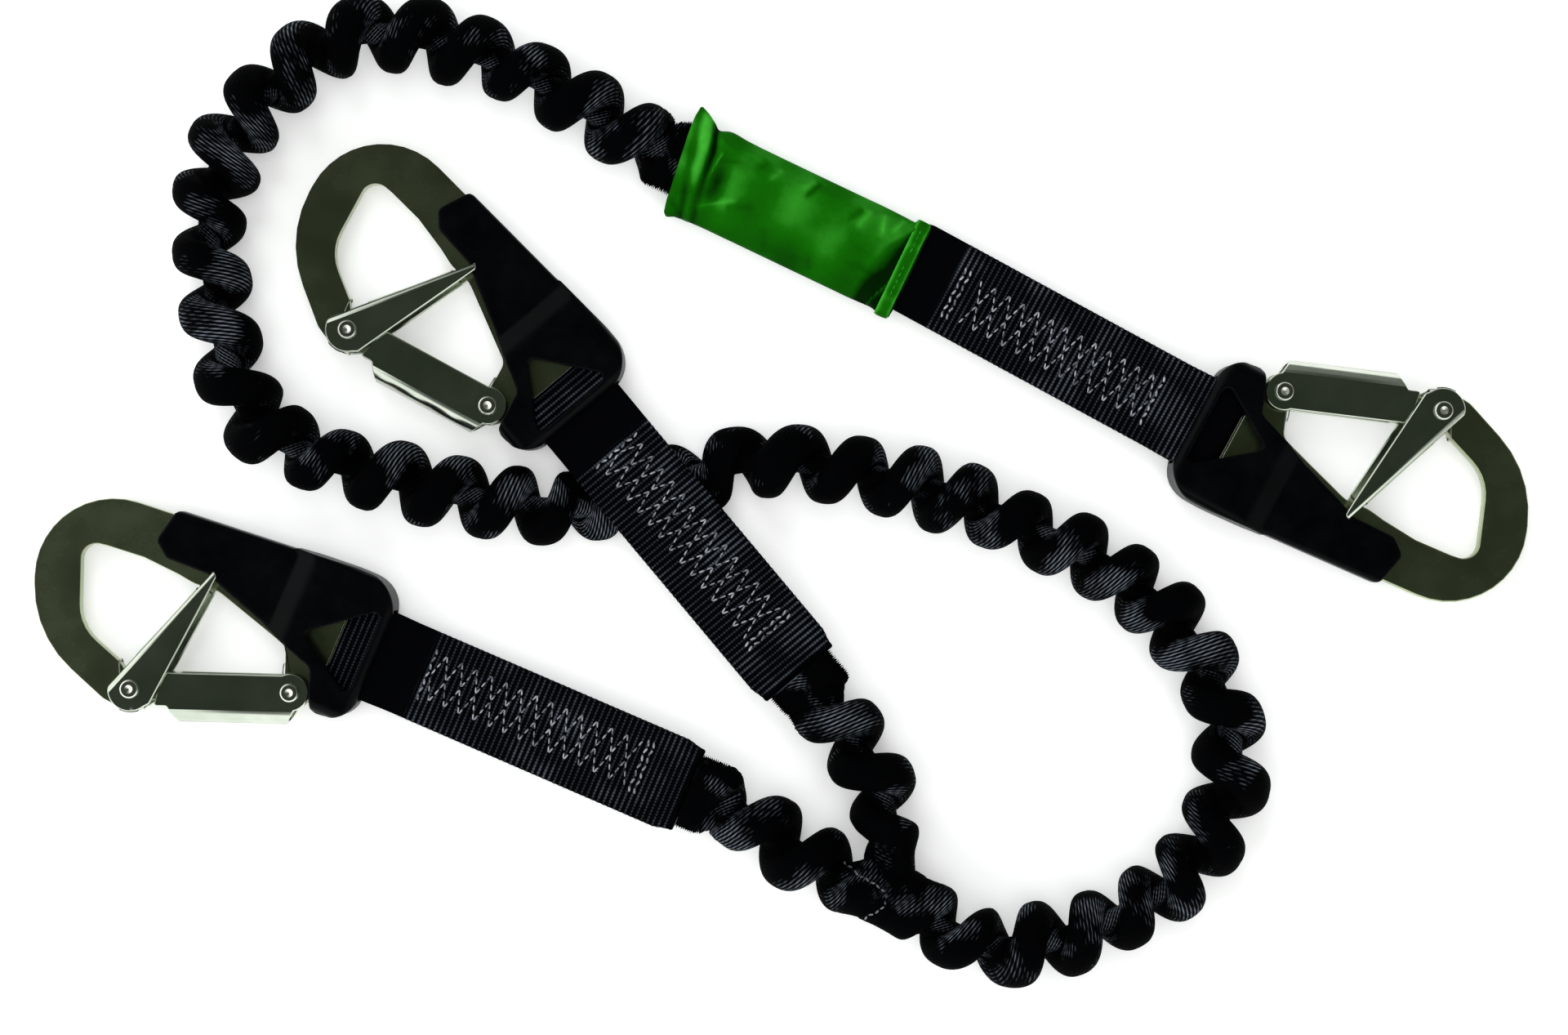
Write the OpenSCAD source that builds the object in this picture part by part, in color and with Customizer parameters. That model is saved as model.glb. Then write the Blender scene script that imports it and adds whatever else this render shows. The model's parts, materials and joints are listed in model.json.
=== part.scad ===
// Shock absorbing lanyard: a three-hook elastic safety tether, lying on a flat surface.
// Millimetres, +Z up, floor at z = 0, origin under the middle of the hooks, straps and absorber.
// Each hook is drawn flat about its lever pin: +x to the gate pin, +y to the back bar.

/* [Hook frame] */
// Thickness of the stamped steel plate
plate_t = 4; // [3:0.25:5]
// Distance from the lever pin to the gate pin
pin_span = 56; // [54:0.5:60]
// How far the bow runs past the lever pin
bow_reach = 36; // [34:0.5:40]
// Width of the steel band round the bow
band_w = 16.4; // [13:0.2:17]
// Radius of the bow's outer top corner
bow_r = 28; // [22:1:28]
// Radius of the bow's outer lower corner
flank_r = 40; // [25:1:40]
// Height of the back edge above the lever pin
back_h = 65.7; // [64:0.5:70]
// Slope of the back edge, in degrees
back_slope = 16.7; // [15:0.5:18]
// Depth of the steel bar below the back edge
bar_depth = 17.6; // [16:0.2:19]
// Radius of the plate round the lever pin
nose_r = 6.5; // [6:0.1:6.6]
// Radius of the plate round the gate pin
lug_r = 6.2; // [5.5:0.1:6.5]

/* [Webbing eye] */
// Angle of the strap below the line of the two pins, in degrees
eye_angle = 21.5; // [18:0.5:25]
// Gate pin to the middle of the strap, across the strap
eye_up = 23.5; // [23:0.5:27]
// Gate pin to the near wall of the eye's slot, along the strap
eye_out = 8; // [7.5:0.5:12]
// Width of the eye's slot, along the strap
slot_w = 7; // [6:0.5:9]
// Width of the bar that the strap loops round
eye_bar_w = 6; // [5:0.5:9]

/* [Gate] */
// Thickness of the folded sheet of gate and lever
sheet_t = 1.2; // [0.8:0.1:1.5]
// Space on each side between plate and gate, where the spring sits
gate_gap = 1.6; // [1.6:0.1:2.2]
// Half the height of the gate's flat sides
gate_half_h = 6; // [5.5:0.1:6.2]
// How far the folded back stands below the pin line
gate_back = 11.6; // [11:0.2:13]
// Radius of the gate's pin end
gate_end_r = 6.7; // [6.2:0.1:7]

/* [Lever] */
// Lever pin to the lever's tip
lever_len = 50.5; // [48:0.5:52]
// Lever pin to the back of the lever's folded edge
lever_fold = 7; // [6.8:0.1:7.4]
// Radius of the lever's round base
lever_base_r = 8; // [7.6:0.1:8.2]
// Radius of the lever's folded edge
lever_bend_r = 2.4; // [1.8:0.2:3]
// Running gap between gate and lever sides
lever_gap = 0.3; // [0.2:0.05:0.6]

/* [Rivets and springs] */
// Diameter of the rivets' shanks
rivet_d = 4.6; // [4:0.1:5]
// Diameter of the rivets' heads
rivet_head_d = 6.6; // [6.2:0.1:8]
// Height of the rivets' heads
rivet_head_h = 1.5; // [1:0.1:2]
// Radial clearance of rivets in their holes
pin_clear = 0.06; // [0.03:0.01:0.1]
// Wire diameter of the gate springs
gate_wire_d = 0.5; // [0.4:0.05:0.6]
// Wire diameter of the lever springs
lever_wire_d = 0.6; // [0.5:0.05:0.7]

/* [Cover] */
// Wall of the moulded cover outside the plate's edge
cover_wall = 2; // [1.6:0.2:2.6]
// Wall of the cover over the flat of the back bar
cover_skin = 2.4; // [1.8:0.1:2.7]
// Wall of the cover over the webbing
eye_skin = 3; // [2:0.2:4]
// Rounding of the cover's edges
cover_edge_r = 2.2; // [1.2:0.2:2.4]

/* [Straps] */
// Width of the webbing
strap_w = 33; // [30:0.5:34]
// Thickness of one layer of webbing
strap_t = 1.8; // [1.4:0.1:2]
// Eye bar to the sewn end of the strap
strap_len = 122; // [100:1:150]
// Clearance of webbing to steel and plastic
strap_clear = 0.3; // [0.2:0.05:0.5]

/* [Elastic legs] */
// Diameter of the elastic core
core_d = 4; // [3:0.2:4.4]
// Radius of the sleeve's spiral crest
crest_r = 13.6; // [12:0.2:14]
// Radius of the sleeve in the valley beside the crest
valley_r = 3.8; // [3.6:0.1:5]
// Curls along the main leg
main_curls = 40; // [30:1:42]
// Curls along each arm
arm_curls = 3; // [2:1:4]

/* [Absorber] */
// Length of the absorber's cover
pouch_len = 90; // [84:1:110]
// Width of the absorber's cover
pouch_w = 38; // [37:0.5:44]
// Thickness of the absorber's cover
pouch_t = 17; // [15:0.5:22]
// Thickness of the cover's cloth
pouch_cloth = 1.2; // [0.8:0.1:1.4]

/* [Hidden] */
HOOKS = [1, 2, 3];
HOOK_PARTS = ["frame", "gate", "lever", "gate_rivet", "lever_rivet", "lever_spacers",
              "gate_spring", "lever_spring", "cover", "strap"];
LEG_PARTS = ["main_leg_sleeve", "main_leg_core", "arm_1_sleeve", "arm_1_core",
             "arm_2_sleeve", "arm_2_core", "leg_junction", "absorber_cover", "tear_webbing"];

steel = [0.36, 0.37, 0.30];
bright = [0.78, 0.78, 0.74];
black = [0.06, 0.06, 0.07];
webbing = [0.10, 0.10, 0.12];
green = [0.13, 0.45, 0.16];
cream = [0.85, 0.82, 0.70];

// Finer arcs for what turns
$fn = 48;
arc_step = 10;

// Half thicknesses of the stack at the pins, from the plate's middle
half_plate = plate_t / 2;
gate_in = half_plate + gate_gap;
gate_out = gate_in + sheet_t;
lever_in = gate_out + lever_gap;
lever_out = lever_in + sheet_t;
head_gap = 0.1;
head_top = lever_out + head_gap + rivet_head_h;

// Cover half thicknesses, and the height of the plate's middle above the floor
cover_half = half_plate + cover_skin;
passage_half = half_plate + strap_t + 2 * strap_clear;
eye_half = max(passage_half + eye_skin, head_top + 0.1);
hook_z = eye_half;

// Eye coordinates: u runs along the strap away from the hook, v across it
function uv(u, v) = [u * cos(eye_angle) + v * sin(eye_angle), v * cos(eye_angle) - u * sin(eye_angle)];
gate_u = pin_span * cos(eye_angle);
gate_v = pin_span * sin(eye_angle);
slot_u = gate_u + eye_out;
bar_u = slot_u + slot_w;
eye_end = bar_u + eye_bar_w;
strap_v = gate_v + eye_up;
slot_half = strap_w / 2 + 0.9;
eye_rim = 6.6;
eye_top = strap_v + slot_half + eye_rim;
eye_bottom = gate_v - 0.5;
strap_u = eye_end + strap_len;

// Outline helpers: corners are [x, y, radius], counter-clockwise
function unit(v) = v / norm(v);
function flat(p) = [p.x, p.y];
function wrap(a) = a > 180 ? a - 360 : a <= -180 ? a + 360 : a;
function arc_points(c, r, a, d) =
    let (n = max(2, ceil(abs(d) / arc_step - 0.01)))
    [for (i = [0:n]) c + r * [cos(a + d * i / n), sin(a + d * i / n)]];
function corner(p, b, q, r) =
    let (u = unit(p - b), w = unit(q - b), half = acos(u * w) / 2)
    r <= 0 || half > 89.9 ? [b] :
    let (c = b + unit(u + w) * r / sin(half), s = b + u * r / tan(half) - c, e = b + w * r / tan(half) - c,
         a = atan2(s.y, s.x))
    arc_points(c, r, a, wrap(atan2(e.y, e.x) - a));
function rounded(c) =
    let (n = len(c))
    [for (i = [0:n - 1]) each corner(flat(c[(i + n - 1) % n]), flat(c[i]), flat(c[(i + 1) % n]), c[i][2])];
function out_normal(a, b) = let (d = unit(flat(b) - flat(a))) [d.y, -d.x];
function turn(a, b, c) = cross(flat(b) - flat(a), flat(c) - flat(b));
function grown(c, d) =
    let (n = len(c))
    [for (i = [0:n - 1])
        let (a = c[(i + n - 1) % n], b = c[i], e = c[(i + 1) % n], m = out_normal(a, b), k = out_normal(b, e),
             p = flat(b) + (m + k) * d / (1 + m * k))
        [p.x, p.y, b[2] <= 0 ? 0 : max(0.05, b[2] + (turn(a, b, e) > 0 ? d : -d))]];

// Corners of a ribbon of thickness t along a path of [x, y, radius] points
function ribbon_side(p, d) =
    let (n = len(p) - 1)
    [for (i = [0:n])
        let (m = i > 0 ? out_normal(p[i - 1], p[i]) : out_normal(p[0], p[1]),
             k = i < n ? out_normal(p[i], p[i + 1]) : m,
             q = flat(p[i]) + (m + k) * d / (1 + m * k),
             s = i > 0 && i < n ? sign(turn(p[i - 1], p[i], p[i + 1])) : 0)
        [q.x, q.y, p[i][2] <= 0 ? 0 : max(0.05, p[i][2] + s * d)]];
function reversed(c) = [for (i = [len(c) - 1:-1:0]) c[i]];
function ribbon(p, t) = concat(ribbon_side(p, t / 2), reversed(ribbon_side(p, -t / 2)));

// Rings of equal count joined into one closed surface; the last meets caps or an inner skin
function strip(a, b, k) =
    [for (j = [0:k - 1]) each let (m = (j + 1) % k) [[a + j, a + m, b + m], [a + j, b + m, b + j]]];
function skin_faces(n, k, start) = [for (i = [0:n - 2]) each strip(start + i * k, start + (i + 1) * k, k)];
function cap(start, k) = [[for (j = [k - 1:-1:0]) start + j]];
function flipped(f) = [for (t = f) [for (i = [len(t) - 1:-1:0]) t[i]]];

module closed_skin(rings) {
    n = len(rings);
    k = len(rings[0]);
    faces = concat(skin_faces(n, k, 0), cap(0, k), flipped(cap((n - 1) * k, k)));
    polyhedron([for (r = rings) each r], flipped(faces));
}

module hollow_skin(outer, inner) {
    n = len(outer);
    m = len(inner);
    k = len(outer[0]);
    base = n * k;
    faces = concat(skin_faces(n, k, 0), flipped(skin_faces(m, k, base)),
                   flipped(strip(0, base, k)), strip((n - 1) * k, base + (m - 1) * k, k));
    polyhedron([for (r = concat(outer, inner)) each r], flipped(faces));
}

// Round wire or cord along 3D points, with a frame carried along the path
function tangents(p) =
    let (n = len(p) - 1)
    [for (i = [0:n]) unit(p[min(i + 1, n)] - p[max(i - 1, 0)])];
function carried(n, t) = unit(n - (n * t) * t);
function side_normals(t) =
    let (first = abs(t[0].z) < 0.9 ? cross(t[0], [0, 0, 1]) : [1, 0, 0])
    [for (i = 0, n = unit(first); i < len(t); n = carried(n, t[min(i + 1, len(t) - 1)]), i = i + 1) n];
function tube_rings(p, r, k) =
    let (t = tangents(p), n = side_normals(t))
    [for (i = [0:len(p) - 1])
        let (b = cross(t[i], n[i]))
        [for (j = [0:k - 1]) p[i] + r * (cos(360 * j / k) * n[i] + sin(360 * j / k) * b)]];

// Frame
band_x = band_w - bow_reach;
eye_corner_top = uv(eye_end, eye_top);
eye_corner_low = uv(eye_end, eye_bottom);
eye_shoulder = uv(eye_end - 15, eye_top);
lug_inner = uv(gate_u + 4, eye_bottom);
// The back edge runs straight from the bow's top corner to the eye's shoulder
bow_top = [-bow_reach, back_h + bow_reach * tan(back_slope)];
back_turn = atan2(bow_top.y - eye_shoulder.y, eye_shoulder.x - bow_top.x);
function back_y(x) = bow_top.y - (x - bow_top.x) * tan(back_turn);
function bar_low(x) = back_y(x) - bar_depth;
frame_corners = [
    [-1, 3, 0],
    [-4.9, 9.1, 1.5],
    [band_x, 21.5, 17],
    [band_x, bar_low(band_x) - 2, 5.5],
    [3, bar_low(3), 90],
    [21, bar_low(21) - 4.6, 12],
    [28.5, bar_low(28.5) - 4, 12],
    [pin_span - 2.4, 16, 4.5],
    [pin_span - 2.4, -3, 0],
    [lug_inner.x, lug_inner.y, 0],
    [eye_corner_low.x, eye_corner_low.y, 9],
    [eye_corner_top.x, eye_corner_top.y, 11],
    [eye_shoulder.x, eye_shoulder.y, 20],
    [bow_top.x, bow_top.y, bow_r],
    [-bow_reach, 18.1, flank_r],
    [-10.5, -4.1, 6],
    [-3.85, -7.24, 0.5]];
tongue_end = pin_span - 42.4;
tongue_low = -4;
tongue_top = gate_half_h - sheet_t - 0.3;

slot_r = 1.5;
slot_corners = [
    concat(uv(slot_u, strap_v - slot_half), slot_r),
    concat(uv(bar_u, strap_v - slot_half), slot_r),
    concat(uv(bar_u, strap_v + slot_half), slot_r),
    concat(uv(slot_u, strap_v + slot_half), slot_r)];

module hook_frame() {
    color(steel)
        difference() {
            linear_extrude(plate_t, center = true) {
                polygon(rounded(frame_corners));
                circle(nose_r);
                translate([pin_span, 0]) circle(lug_r);
                polygon(rounded([[0, tongue_low, 0], [tongue_end, tongue_low, 1.2],
                                 [tongue_end, tongue_top, 1.2], [0, tongue_top, 0]]));
            }
            linear_extrude(2 * plate_t, center = true) polygon(rounded(slot_corners));
            pin_hole(0);
            pin_hole(pin_span);
        }
}

module pin_hole(x) {
    translate([x, 0, 0]) cylinder(h = 4 * lever_out, d = rivet_d + 2 * pin_clear, center = true);
}

// Folded channel: a plan outline filled by a U section that runs along +x, open towards +y
module channel(outline, back, half, bend, length) {
    intersection() {
        linear_extrude(2 * half, center = true) polygon(outline);
        translate([-length / 2, 0, 0]) rotate([90, 0, 90]) linear_extrude(length)
            difference() {
                polygon(rounded([[-back, -half, bend], [3 * half + back, -half, 0],
                                 [3 * half + back, half, 0], [-back, half, bend]]));
                polygon(rounded(channel_hollow(back - sheet_t, half - sheet_t, max(0.3, bend - sheet_t),
                                               4 * half + back)));
            }
    }
}
function channel_hollow(back, half, bend, far) =
    [[-back, -half, bend], [far, -half, 0], [far, half, 0], [-back, half, bend]];

// Gate
gate_tip_low = 8;
gate_tip_top = 11;
gate_back_start = 16.5;
gate_corners = [
    [gate_tip_low, -gate_half_h, 1],
    [gate_back_start - 4, -gate_half_h, 1],
    [gate_back_start, -gate_back, 1],
    [pin_span - 1.5, -gate_back, 1],
    [pin_span + 2.5, 1 - gate_half_h, 0],
    [pin_span, gate_half_h, 0],
    [gate_tip_top, gate_half_h, 1]];
bridge_w = 4;

module hook_gate() {
    color(steel)
        difference() {
            union() {
                channel(rounded(gate_corners), gate_back, gate_out, gate_out - 0.1, 4 * pin_span);
                for (s = [-1, 1])
                    translate([pin_span, 0, s * (gate_in + gate_out) / 2])
                        cylinder(h = sheet_t, r = gate_end_r, center = true);
                translate([gate_tip_top + 0.8, gate_half_h - sheet_t, -gate_in - sheet_t / 2])
                    cube([bridge_w, sheet_t, 2 * gate_in + sheet_t]);
            }
            pin_hole(pin_span);
        }
}

// Lever: the folded edge faces the main opening and stops short of the back bar
lever_edge = 48.9;
lever_open_side = 63.5;
lever_side_gap = 8.5;
lever_side_drop = 1.5;
spine_start_r = 12;
spine_end_r = 42.2;
// The cut past the spine's ends goes a little into both sides
spine_cut = 2 * (lever_in + 0.15);
function line_meet(a, d, b, e) = a + d * cross(b - a, e) / cross(d, e);
function along(a) = [cos(a), sin(a)];
edge_foot = lever_fold * along(lever_edge + 90);
side_foot = lever_side_gap * along(lever_open_side - 90);
lever_apex = line_meet(edge_foot, along(lever_edge), side_foot, along(lever_open_side));
lever_half_angle = (lever_open_side - lever_edge) / 2;
lever_tip_r = (norm(lever_apex) - lever_len) / (1 / sin(lever_half_angle) - 1);
lever_side_corner = side_foot - lever_side_drop * along(lever_open_side);
base_from = lever_edge + 90 + acos(lever_fold / lever_base_r);
base_to = 310;
lever_corners = concat(
    [for (p = arc_points([0, 0], lever_base_r, base_from, base_to - base_from)) [p.x, p.y, 0]],
    [[lever_side_corner.x, lever_side_corner.y, 0.8], [lever_apex.x, lever_apex.y, lever_tip_r]]);
flange_from = -113;
flange_to = -73;

module lever_flange() {
    linear_extrude(2 * lever_in + sheet_t, center = true)
        polygon(concat(arc_points([0, 0], lever_base_r - trim, flange_from, flange_to - flange_from),
                       arc_points([0, 0], nose_r + 0.6, flange_to, flange_from - flange_to)));
}

module hook_lever() {
    turned = [for (p = rounded(lever_corners))
        [p.x * cos(lever_edge) + p.y * sin(lever_edge), p.x * sin(lever_edge) - p.y * cos(lever_edge)]];
    color(steel)
        difference() {
            union() {
                difference() {
                    rotate([0, 0, lever_edge]) mirror([0, 1, 0])
                        channel(turned, lever_fold, lever_out, lever_bend_r, 4 * lever_len);
                    difference() {
                        cylinder(h = spine_cut, r = 2 * lever_len, center = true);
                        cylinder(h = 2 * spine_cut, r = spine_end_r, center = true);
                    }
                    cylinder(h = spine_cut, r = spine_start_r, center = true);
                }
                lever_flange();
            }
            pin_hole(0);
        }
}

// Rivets, spacers and springs
module rivet(grip) {
    head = grip + head_gap;
    r = rivet_head_d / 2;
    half_section = [
        [0, 0, 0], [rivet_d / 2, 0, 0], [rivet_d / 2, head, 0], [r, head, 0.2], [r, head + rivet_head_h, 0.8],
        [0.45 * r, head + rivet_head_h, 0.2], [0, head + 0.55 * rivet_head_h, 0]];
    color(bright)
        for (s = [0, 1])
            mirror([0, 0, s]) rotate_extrude() polygon(rounded(half_section));
}

spacer_clear = 0.05;
spacer_d = 6.4;
module hook_lever_spacers() {
    color(bright)
        for (s = [-1, 1])
            translate([0, 0, s * (half_plate + lever_in) / 2])
                difference() {
                    cylinder(h = lever_in - half_plate - 2 * spacer_clear, d = spacer_d, center = true);
                    cylinder(h = lever_in, d = rivet_d + 2 * pin_clear, center = true);
                }
}

coil_rings = 8;
function coil(r, a, b, z0, z1) =
    let (n = max(4, round(coil_rings * abs(b - a) / 360)))
    [for (i = [0:n]) let (t = i / n) concat(r * along(a + (b - a) * t), z0 + (z1 - z0) * t)];
function mirrored(p) = [for (i = [len(p) - 1:-1:0]) [p[i].x, p[i].y, -p[i].z]];

gate_coil_r = 3.4;
gate_spring_half = concat(
    [[-2.4 - gate_wire_d - 0.1, 10, 0.6], [-2.4 - gate_wire_d - 0.1, 9.4, half_plate + gate_wire_d]],
    coil(gate_coil_r, 180, 482, half_plate + 0.1 + gate_wire_d / 2, gate_in - 0.1 - gate_wire_d / 2),
    [[-14, -4.4, gate_in - 0.5], [-20, -7.6, half_plate], [-23.5, 1.6 - gate_back, 0.9]]);
module hook_gate_spring() {
    color(bright)
        translate([pin_span, 0, 0])
            closed_skin(tube_rings(concat(gate_spring_half, mirrored(gate_spring_half)), gate_wire_d / 2, 6));
}

lever_coil_r = 4.1;
// The wire's middle bears on the end of the lever's flange
bridge_r = nose_r + 1.2;
bridge_turn = flange_to + 6;
lever_spring_half = concat(
    [[-5.1, 10.1, 0.6], [-5, 9.6, half_plate + lever_wire_d]],
    coil(lever_coil_r, 180, 945, half_plate + 0.1 + lever_wire_d / 2, lever_in - 0.1 - lever_wire_d / 2),
    [concat(bridge_r * along(bridge_turn), lever_in - 0.1 - lever_wire_d / 2)]);
module hook_lever_spring() {
    color(bright)
        closed_skin(tube_rings(concat(lever_spring_half, mirrored(lever_spring_half)), lever_wire_d / 2, 6));
}

// Cover: a thin sleeve on the back bar that swells round the webbing eye
plate_clear = 0.15;
cover_left = 14.5;
cover_grown = grown(frame_corners, cover_wall);
cover_back = cover_wall / cos(back_turn);
cover_gate_x = pin_span + gate_end_r + 0.9;
cover_lobe = uv(gate_u + 13.5, eye_bottom - cover_wall);
cover_corners = [
    [11, bar_low(11) + 1.4, 2.6],
    [26, bar_low(26) + 0.6, 2.5],
    [33, bar_low(33) - 3.6, 3],
    [cover_gate_x, 9.5, 3],
    [cover_gate_x, cover_lobe.y + 0.5, 2.5],
    cover_grown[10],
    cover_grown[11],
    cover_grown[12],
    [cover_left, back_y(cover_left) + cover_back, 2.5],
    [7.2, bar_low(7.2) + 6.6, 2.6]];
window_end = bar_u + 0.75 * eye_bar_w;
window_apex = uv(slot_u - 12, strap_v - 2);
window_top = uv(window_end, strap_v + strap_w / 2);
window_low = uv(window_end, strap_v - strap_w / 2);

// The swell stands proud of the sleeve; its rounded sections trim the plan by a hair
swell_proud = 0.4;
trim = 0.05;
swell_wall = cover_wall + swell_proud - trim;
swell_r = 2 * cover_edge_r;
swell_from = gate_u - 18;
swell_to = gate_u - 9;
back_top = back_y(0) * cos(back_turn) + cover_wall - trim;

module section_across(turn, low, high, half, r) {
    rotate([0, 0, -turn]) translate([-2 * pin_span, 0, 0]) rotate([90, 0, 90])
        linear_extrude(6 * pin_span)
            polygon(rounded([[low, -half, r], [high, -half, r], [high, half, r], [low, half, r]]));
}

module swell_section() {
    end = eye_end + swell_wall;
    rotate([0, 0, -eye_angle]) translate([0, 3 * pin_span, 0]) rotate([90, 0, 0])
        linear_extrude(6 * pin_span)
            polygon(rounded([
                [swell_from, 1 - cover_half, 0], [swell_to, -eye_half, 8], [end, -eye_half, swell_r],
                [end, eye_half, swell_r], [swell_to, eye_half, 8], [swell_from, cover_half - 1, 0]]));
}

module hook_cover() {
    color(black)
        difference() {
            union() {
                intersection() {
                    linear_extrude(2 * cover_half, center = true) polygon(rounded(cover_corners));
                    section_across(back_turn, -pin_span, back_top, cover_half, cover_edge_r);
                }
                intersection() {
                    linear_extrude(2 * eye_half, center = true)
                        polygon(rounded(grown(cover_corners, swell_proud)));
                    section_across(eye_angle, eye_bottom - swell_wall, eye_top + swell_wall, eye_half, swell_r);
                    swell_section();
                }
            }
            linear_extrude(plate_t + 2 * plate_clear, center = true)
                polygon(rounded(grown(frame_corners, plate_clear)));
            linear_extrude(4 * eye_half, center = true)
                polygon(rounded([concat(window_apex, 2), concat(window_low, 2), concat(window_top, 2)]));
            rotate([0, 0, -eye_angle])
                translate([slot_u, strap_v - strap_w / 2 - 2 * strap_clear, -passage_half])
                    cube([strap_len, strap_w + 4 * strap_clear, 2 * passage_half]);
            translate([pin_span, 0, 0])
                cylinder(h = 4 * eye_half, r = gate_end_r + 0.5, center = true);
        }
}

// Straps: webbing looped round the eye bar, both layers sewn together as a tail
leg_z = crest_r + 0.4;
pouch_z = pouch_t / 2 + 0.2;
strap_ends = [[4, -72, leg_z], [-35, -113, leg_z], [38, 75, pouch_z]];
strap_turns = [-50, -23, 151.5];
// Heights of each tail above the plate's middle, at distances past the eye bar
tail_rise = [[[11, 1.4], [21, 5], [68, 5.2]], [[12, 0.4], [60, 3]], [[12, 0], [60, 0.2]]];
loop_half = half_plate + strap_clear;
// Gap between sewn ends that meet face to face
sewn_gap = 0.4;
strap_end = strap_u - sewn_gap;
function tail_edge(k, d) =
    [for (q = tail_rise[k - 1]) [eye_end + q.x, q.y + d, 8]];

module hook_strap(k) {
    end_rise = strap_ends[k - 1].z - hook_z;
    join = eye_end + tail_rise[k - 1][0].x;
    outer = concat(
        [[bar_u - strap_clear - strap_t, -loop_half - strap_t, strap_t],
         [eye_end + 1, -loop_half - strap_t, 6]],
        tail_edge(k, -strap_t), [[strap_end, end_rise - strap_t, 0], [strap_end, end_rise + strap_t, 0]],
        reversed(tail_edge(k, strap_t)),
        [[eye_end + 1, loop_half + strap_t, 6], [bar_u - strap_clear - strap_t, loop_half + strap_t, strap_t]]);
    inner = [[bar_u - strap_clear, -loop_half, 0.4], [eye_end + 1, -loop_half, 1.5],
             [join - 2, tail_rise[k - 1][0].y * 0.8, 0], [eye_end + 1, loop_half, 1.5],
             [bar_u - strap_clear, loop_half, 0.4]];
    color(webbing)
        rotate([0, 0, -eye_angle]) translate([0, strap_v + strap_w / 2, 0]) rotate([90, 0, 0])
            linear_extrude(strap_w)
                difference() {
                    polygon(rounded(outer));
                    polygon(rounded(inner));
                }
}

// Brings the middle of the hooks, straps and absorber over the origin
layout_shift = [2.4, 2.2, 0];
module laid_out() {
    translate(layout_shift) children();
}

// Each hook is set out from the sewn end of its strap
module place_hook(k) {
    foot = uv(strap_u, strap_v);
    translate([strap_ends[k - 1].x, strap_ends[k - 1].y, hook_z])
        rotate([0, 0, strap_turns[k - 1] + eye_angle])
            translate([-foot.x, -foot.y, 0]) children();
}

// Elastic legs: routes of the core, from the absorber to the junction and from the straps to it
main_route = [
    [-34, 108, pouch_z], [-46, 113.7, pouch_z], [-58, 119.5, 12], [-86, 136, leg_z], [-113, 147.5, leg_z],
    [-137, 153, leg_z], [-158, 151.5, leg_z], [-175, 140, leg_z], [-190, 125, leg_z], [-200, 106, leg_z],
    [-204, 86, leg_z], [-202, 64, leg_z], [-197, 38, leg_z], [-188, 18, leg_z], [-170, 6, leg_z],
    [-146, -1.5, leg_z], [-118, -8.5, leg_z], [-92, -13, 12], [-71, -13, 5.5], [-48, -8.5, 5.5],
    [-25, 0.5, 5.5], [-4, 3, 12], [24, -1, leg_z], [56, -9, leg_z], [84, -20.5, leg_z], [111, -33.5, leg_z],
    [134, -52, leg_z], [149, -74, leg_z], [156, -98, leg_z], [152, -122, leg_z], [137, -144, leg_z],
    [112, -159.5, leg_z], [87, -167, leg_z], [71, -168, leg_z], [59.4, -163.5, leg_z], [49, -157.5, leg_z]];
arm_1_route = [[4, -72, leg_z], [15.6, -85.8, leg_z], [27, -101.5, leg_z], [33.5, -117, leg_z],
               [35.2, -126, leg_z], [35.5, -135, leg_z]];
arm_2_route = [[-35, -113, leg_z], [-18.4, -120, leg_z], [-4, -130, leg_z], [11.2, -139.4, leg_z],
               [22.2, -144.1, leg_z]];
junction_at = [36, -150, leg_z];
crossing = [-48, -8.5];

// Half width and half height of a sleeve where it is sewn flat, and half height under the crossing strap
strap_mouth = [14, 4.2];
junction_mouth = [8.6, 7];
under_strap = 5;
floor_gap = 0.3;
end_fade = 16;
flat_reach = 21;
flat_fade = 22;

route_steps = 8;
function curve_point(p, i, t) =
    let (n = len(p) - 1, a = p[max(i - 1, 0)], b = p[i], c = p[min(i + 1, n)], d = p[min(i + 2, n)])
    0.5 * (2 * b + (c - a) * t + (2 * a - 5 * b + 4 * c - d) * t * t + (3 * b - a - 3 * c + d) * t * t * t);
function curve(p) =
    concat([for (i = [0:len(p) - 2], s = [0:route_steps - 1]) curve_point(p, i, s / route_steps)],
           [p[len(p) - 1]]);
function running(p) =
    [for (i = 0, s = 0; i < len(p); s = s + (i + 1 < len(p) ? norm(p[i + 1] - p[i]) : 0), i = i + 1) s];
function table(p, s, axis) = [for (i = [0:len(p) - 1]) [s[i], p[i][axis]]];
function evenly(route, n) =
    let (p = curve(route), s = running(p), x = table(p, s, 0), y = table(p, s, 1), z = table(p, s, 2),
         total = s[len(s) - 1])
    [for (i = [0:n]) let (d = total * i / n) [lookup(d, x), lookup(d, y), lookup(d, z)]];
function route_length(route) = let (s = running(curve(route))) s[len(s) - 1];

function smooth(t) = let (c = min(1, max(0, t))) c * c * (3 - 2 * c);
function mix(a, b, t) = a + (b - a) * t;
function oval(m, a) = 1 / norm([cos(a) / m.x, sin(a) / m.y]);
crest_share = 0.58;
crest_spread = 106;
function crest(a) =
    let (d = min(1, abs(wrap(a)) / crest_spread))
    max(valley_r, crest_r * (1 - crest_share + crest_share * sqrt(1 - d * d)) - (d < 1 ? 0 : crest_r));
function on_floor(p) = [p.x, p.y, max(floor_gap, p.z)];

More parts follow.
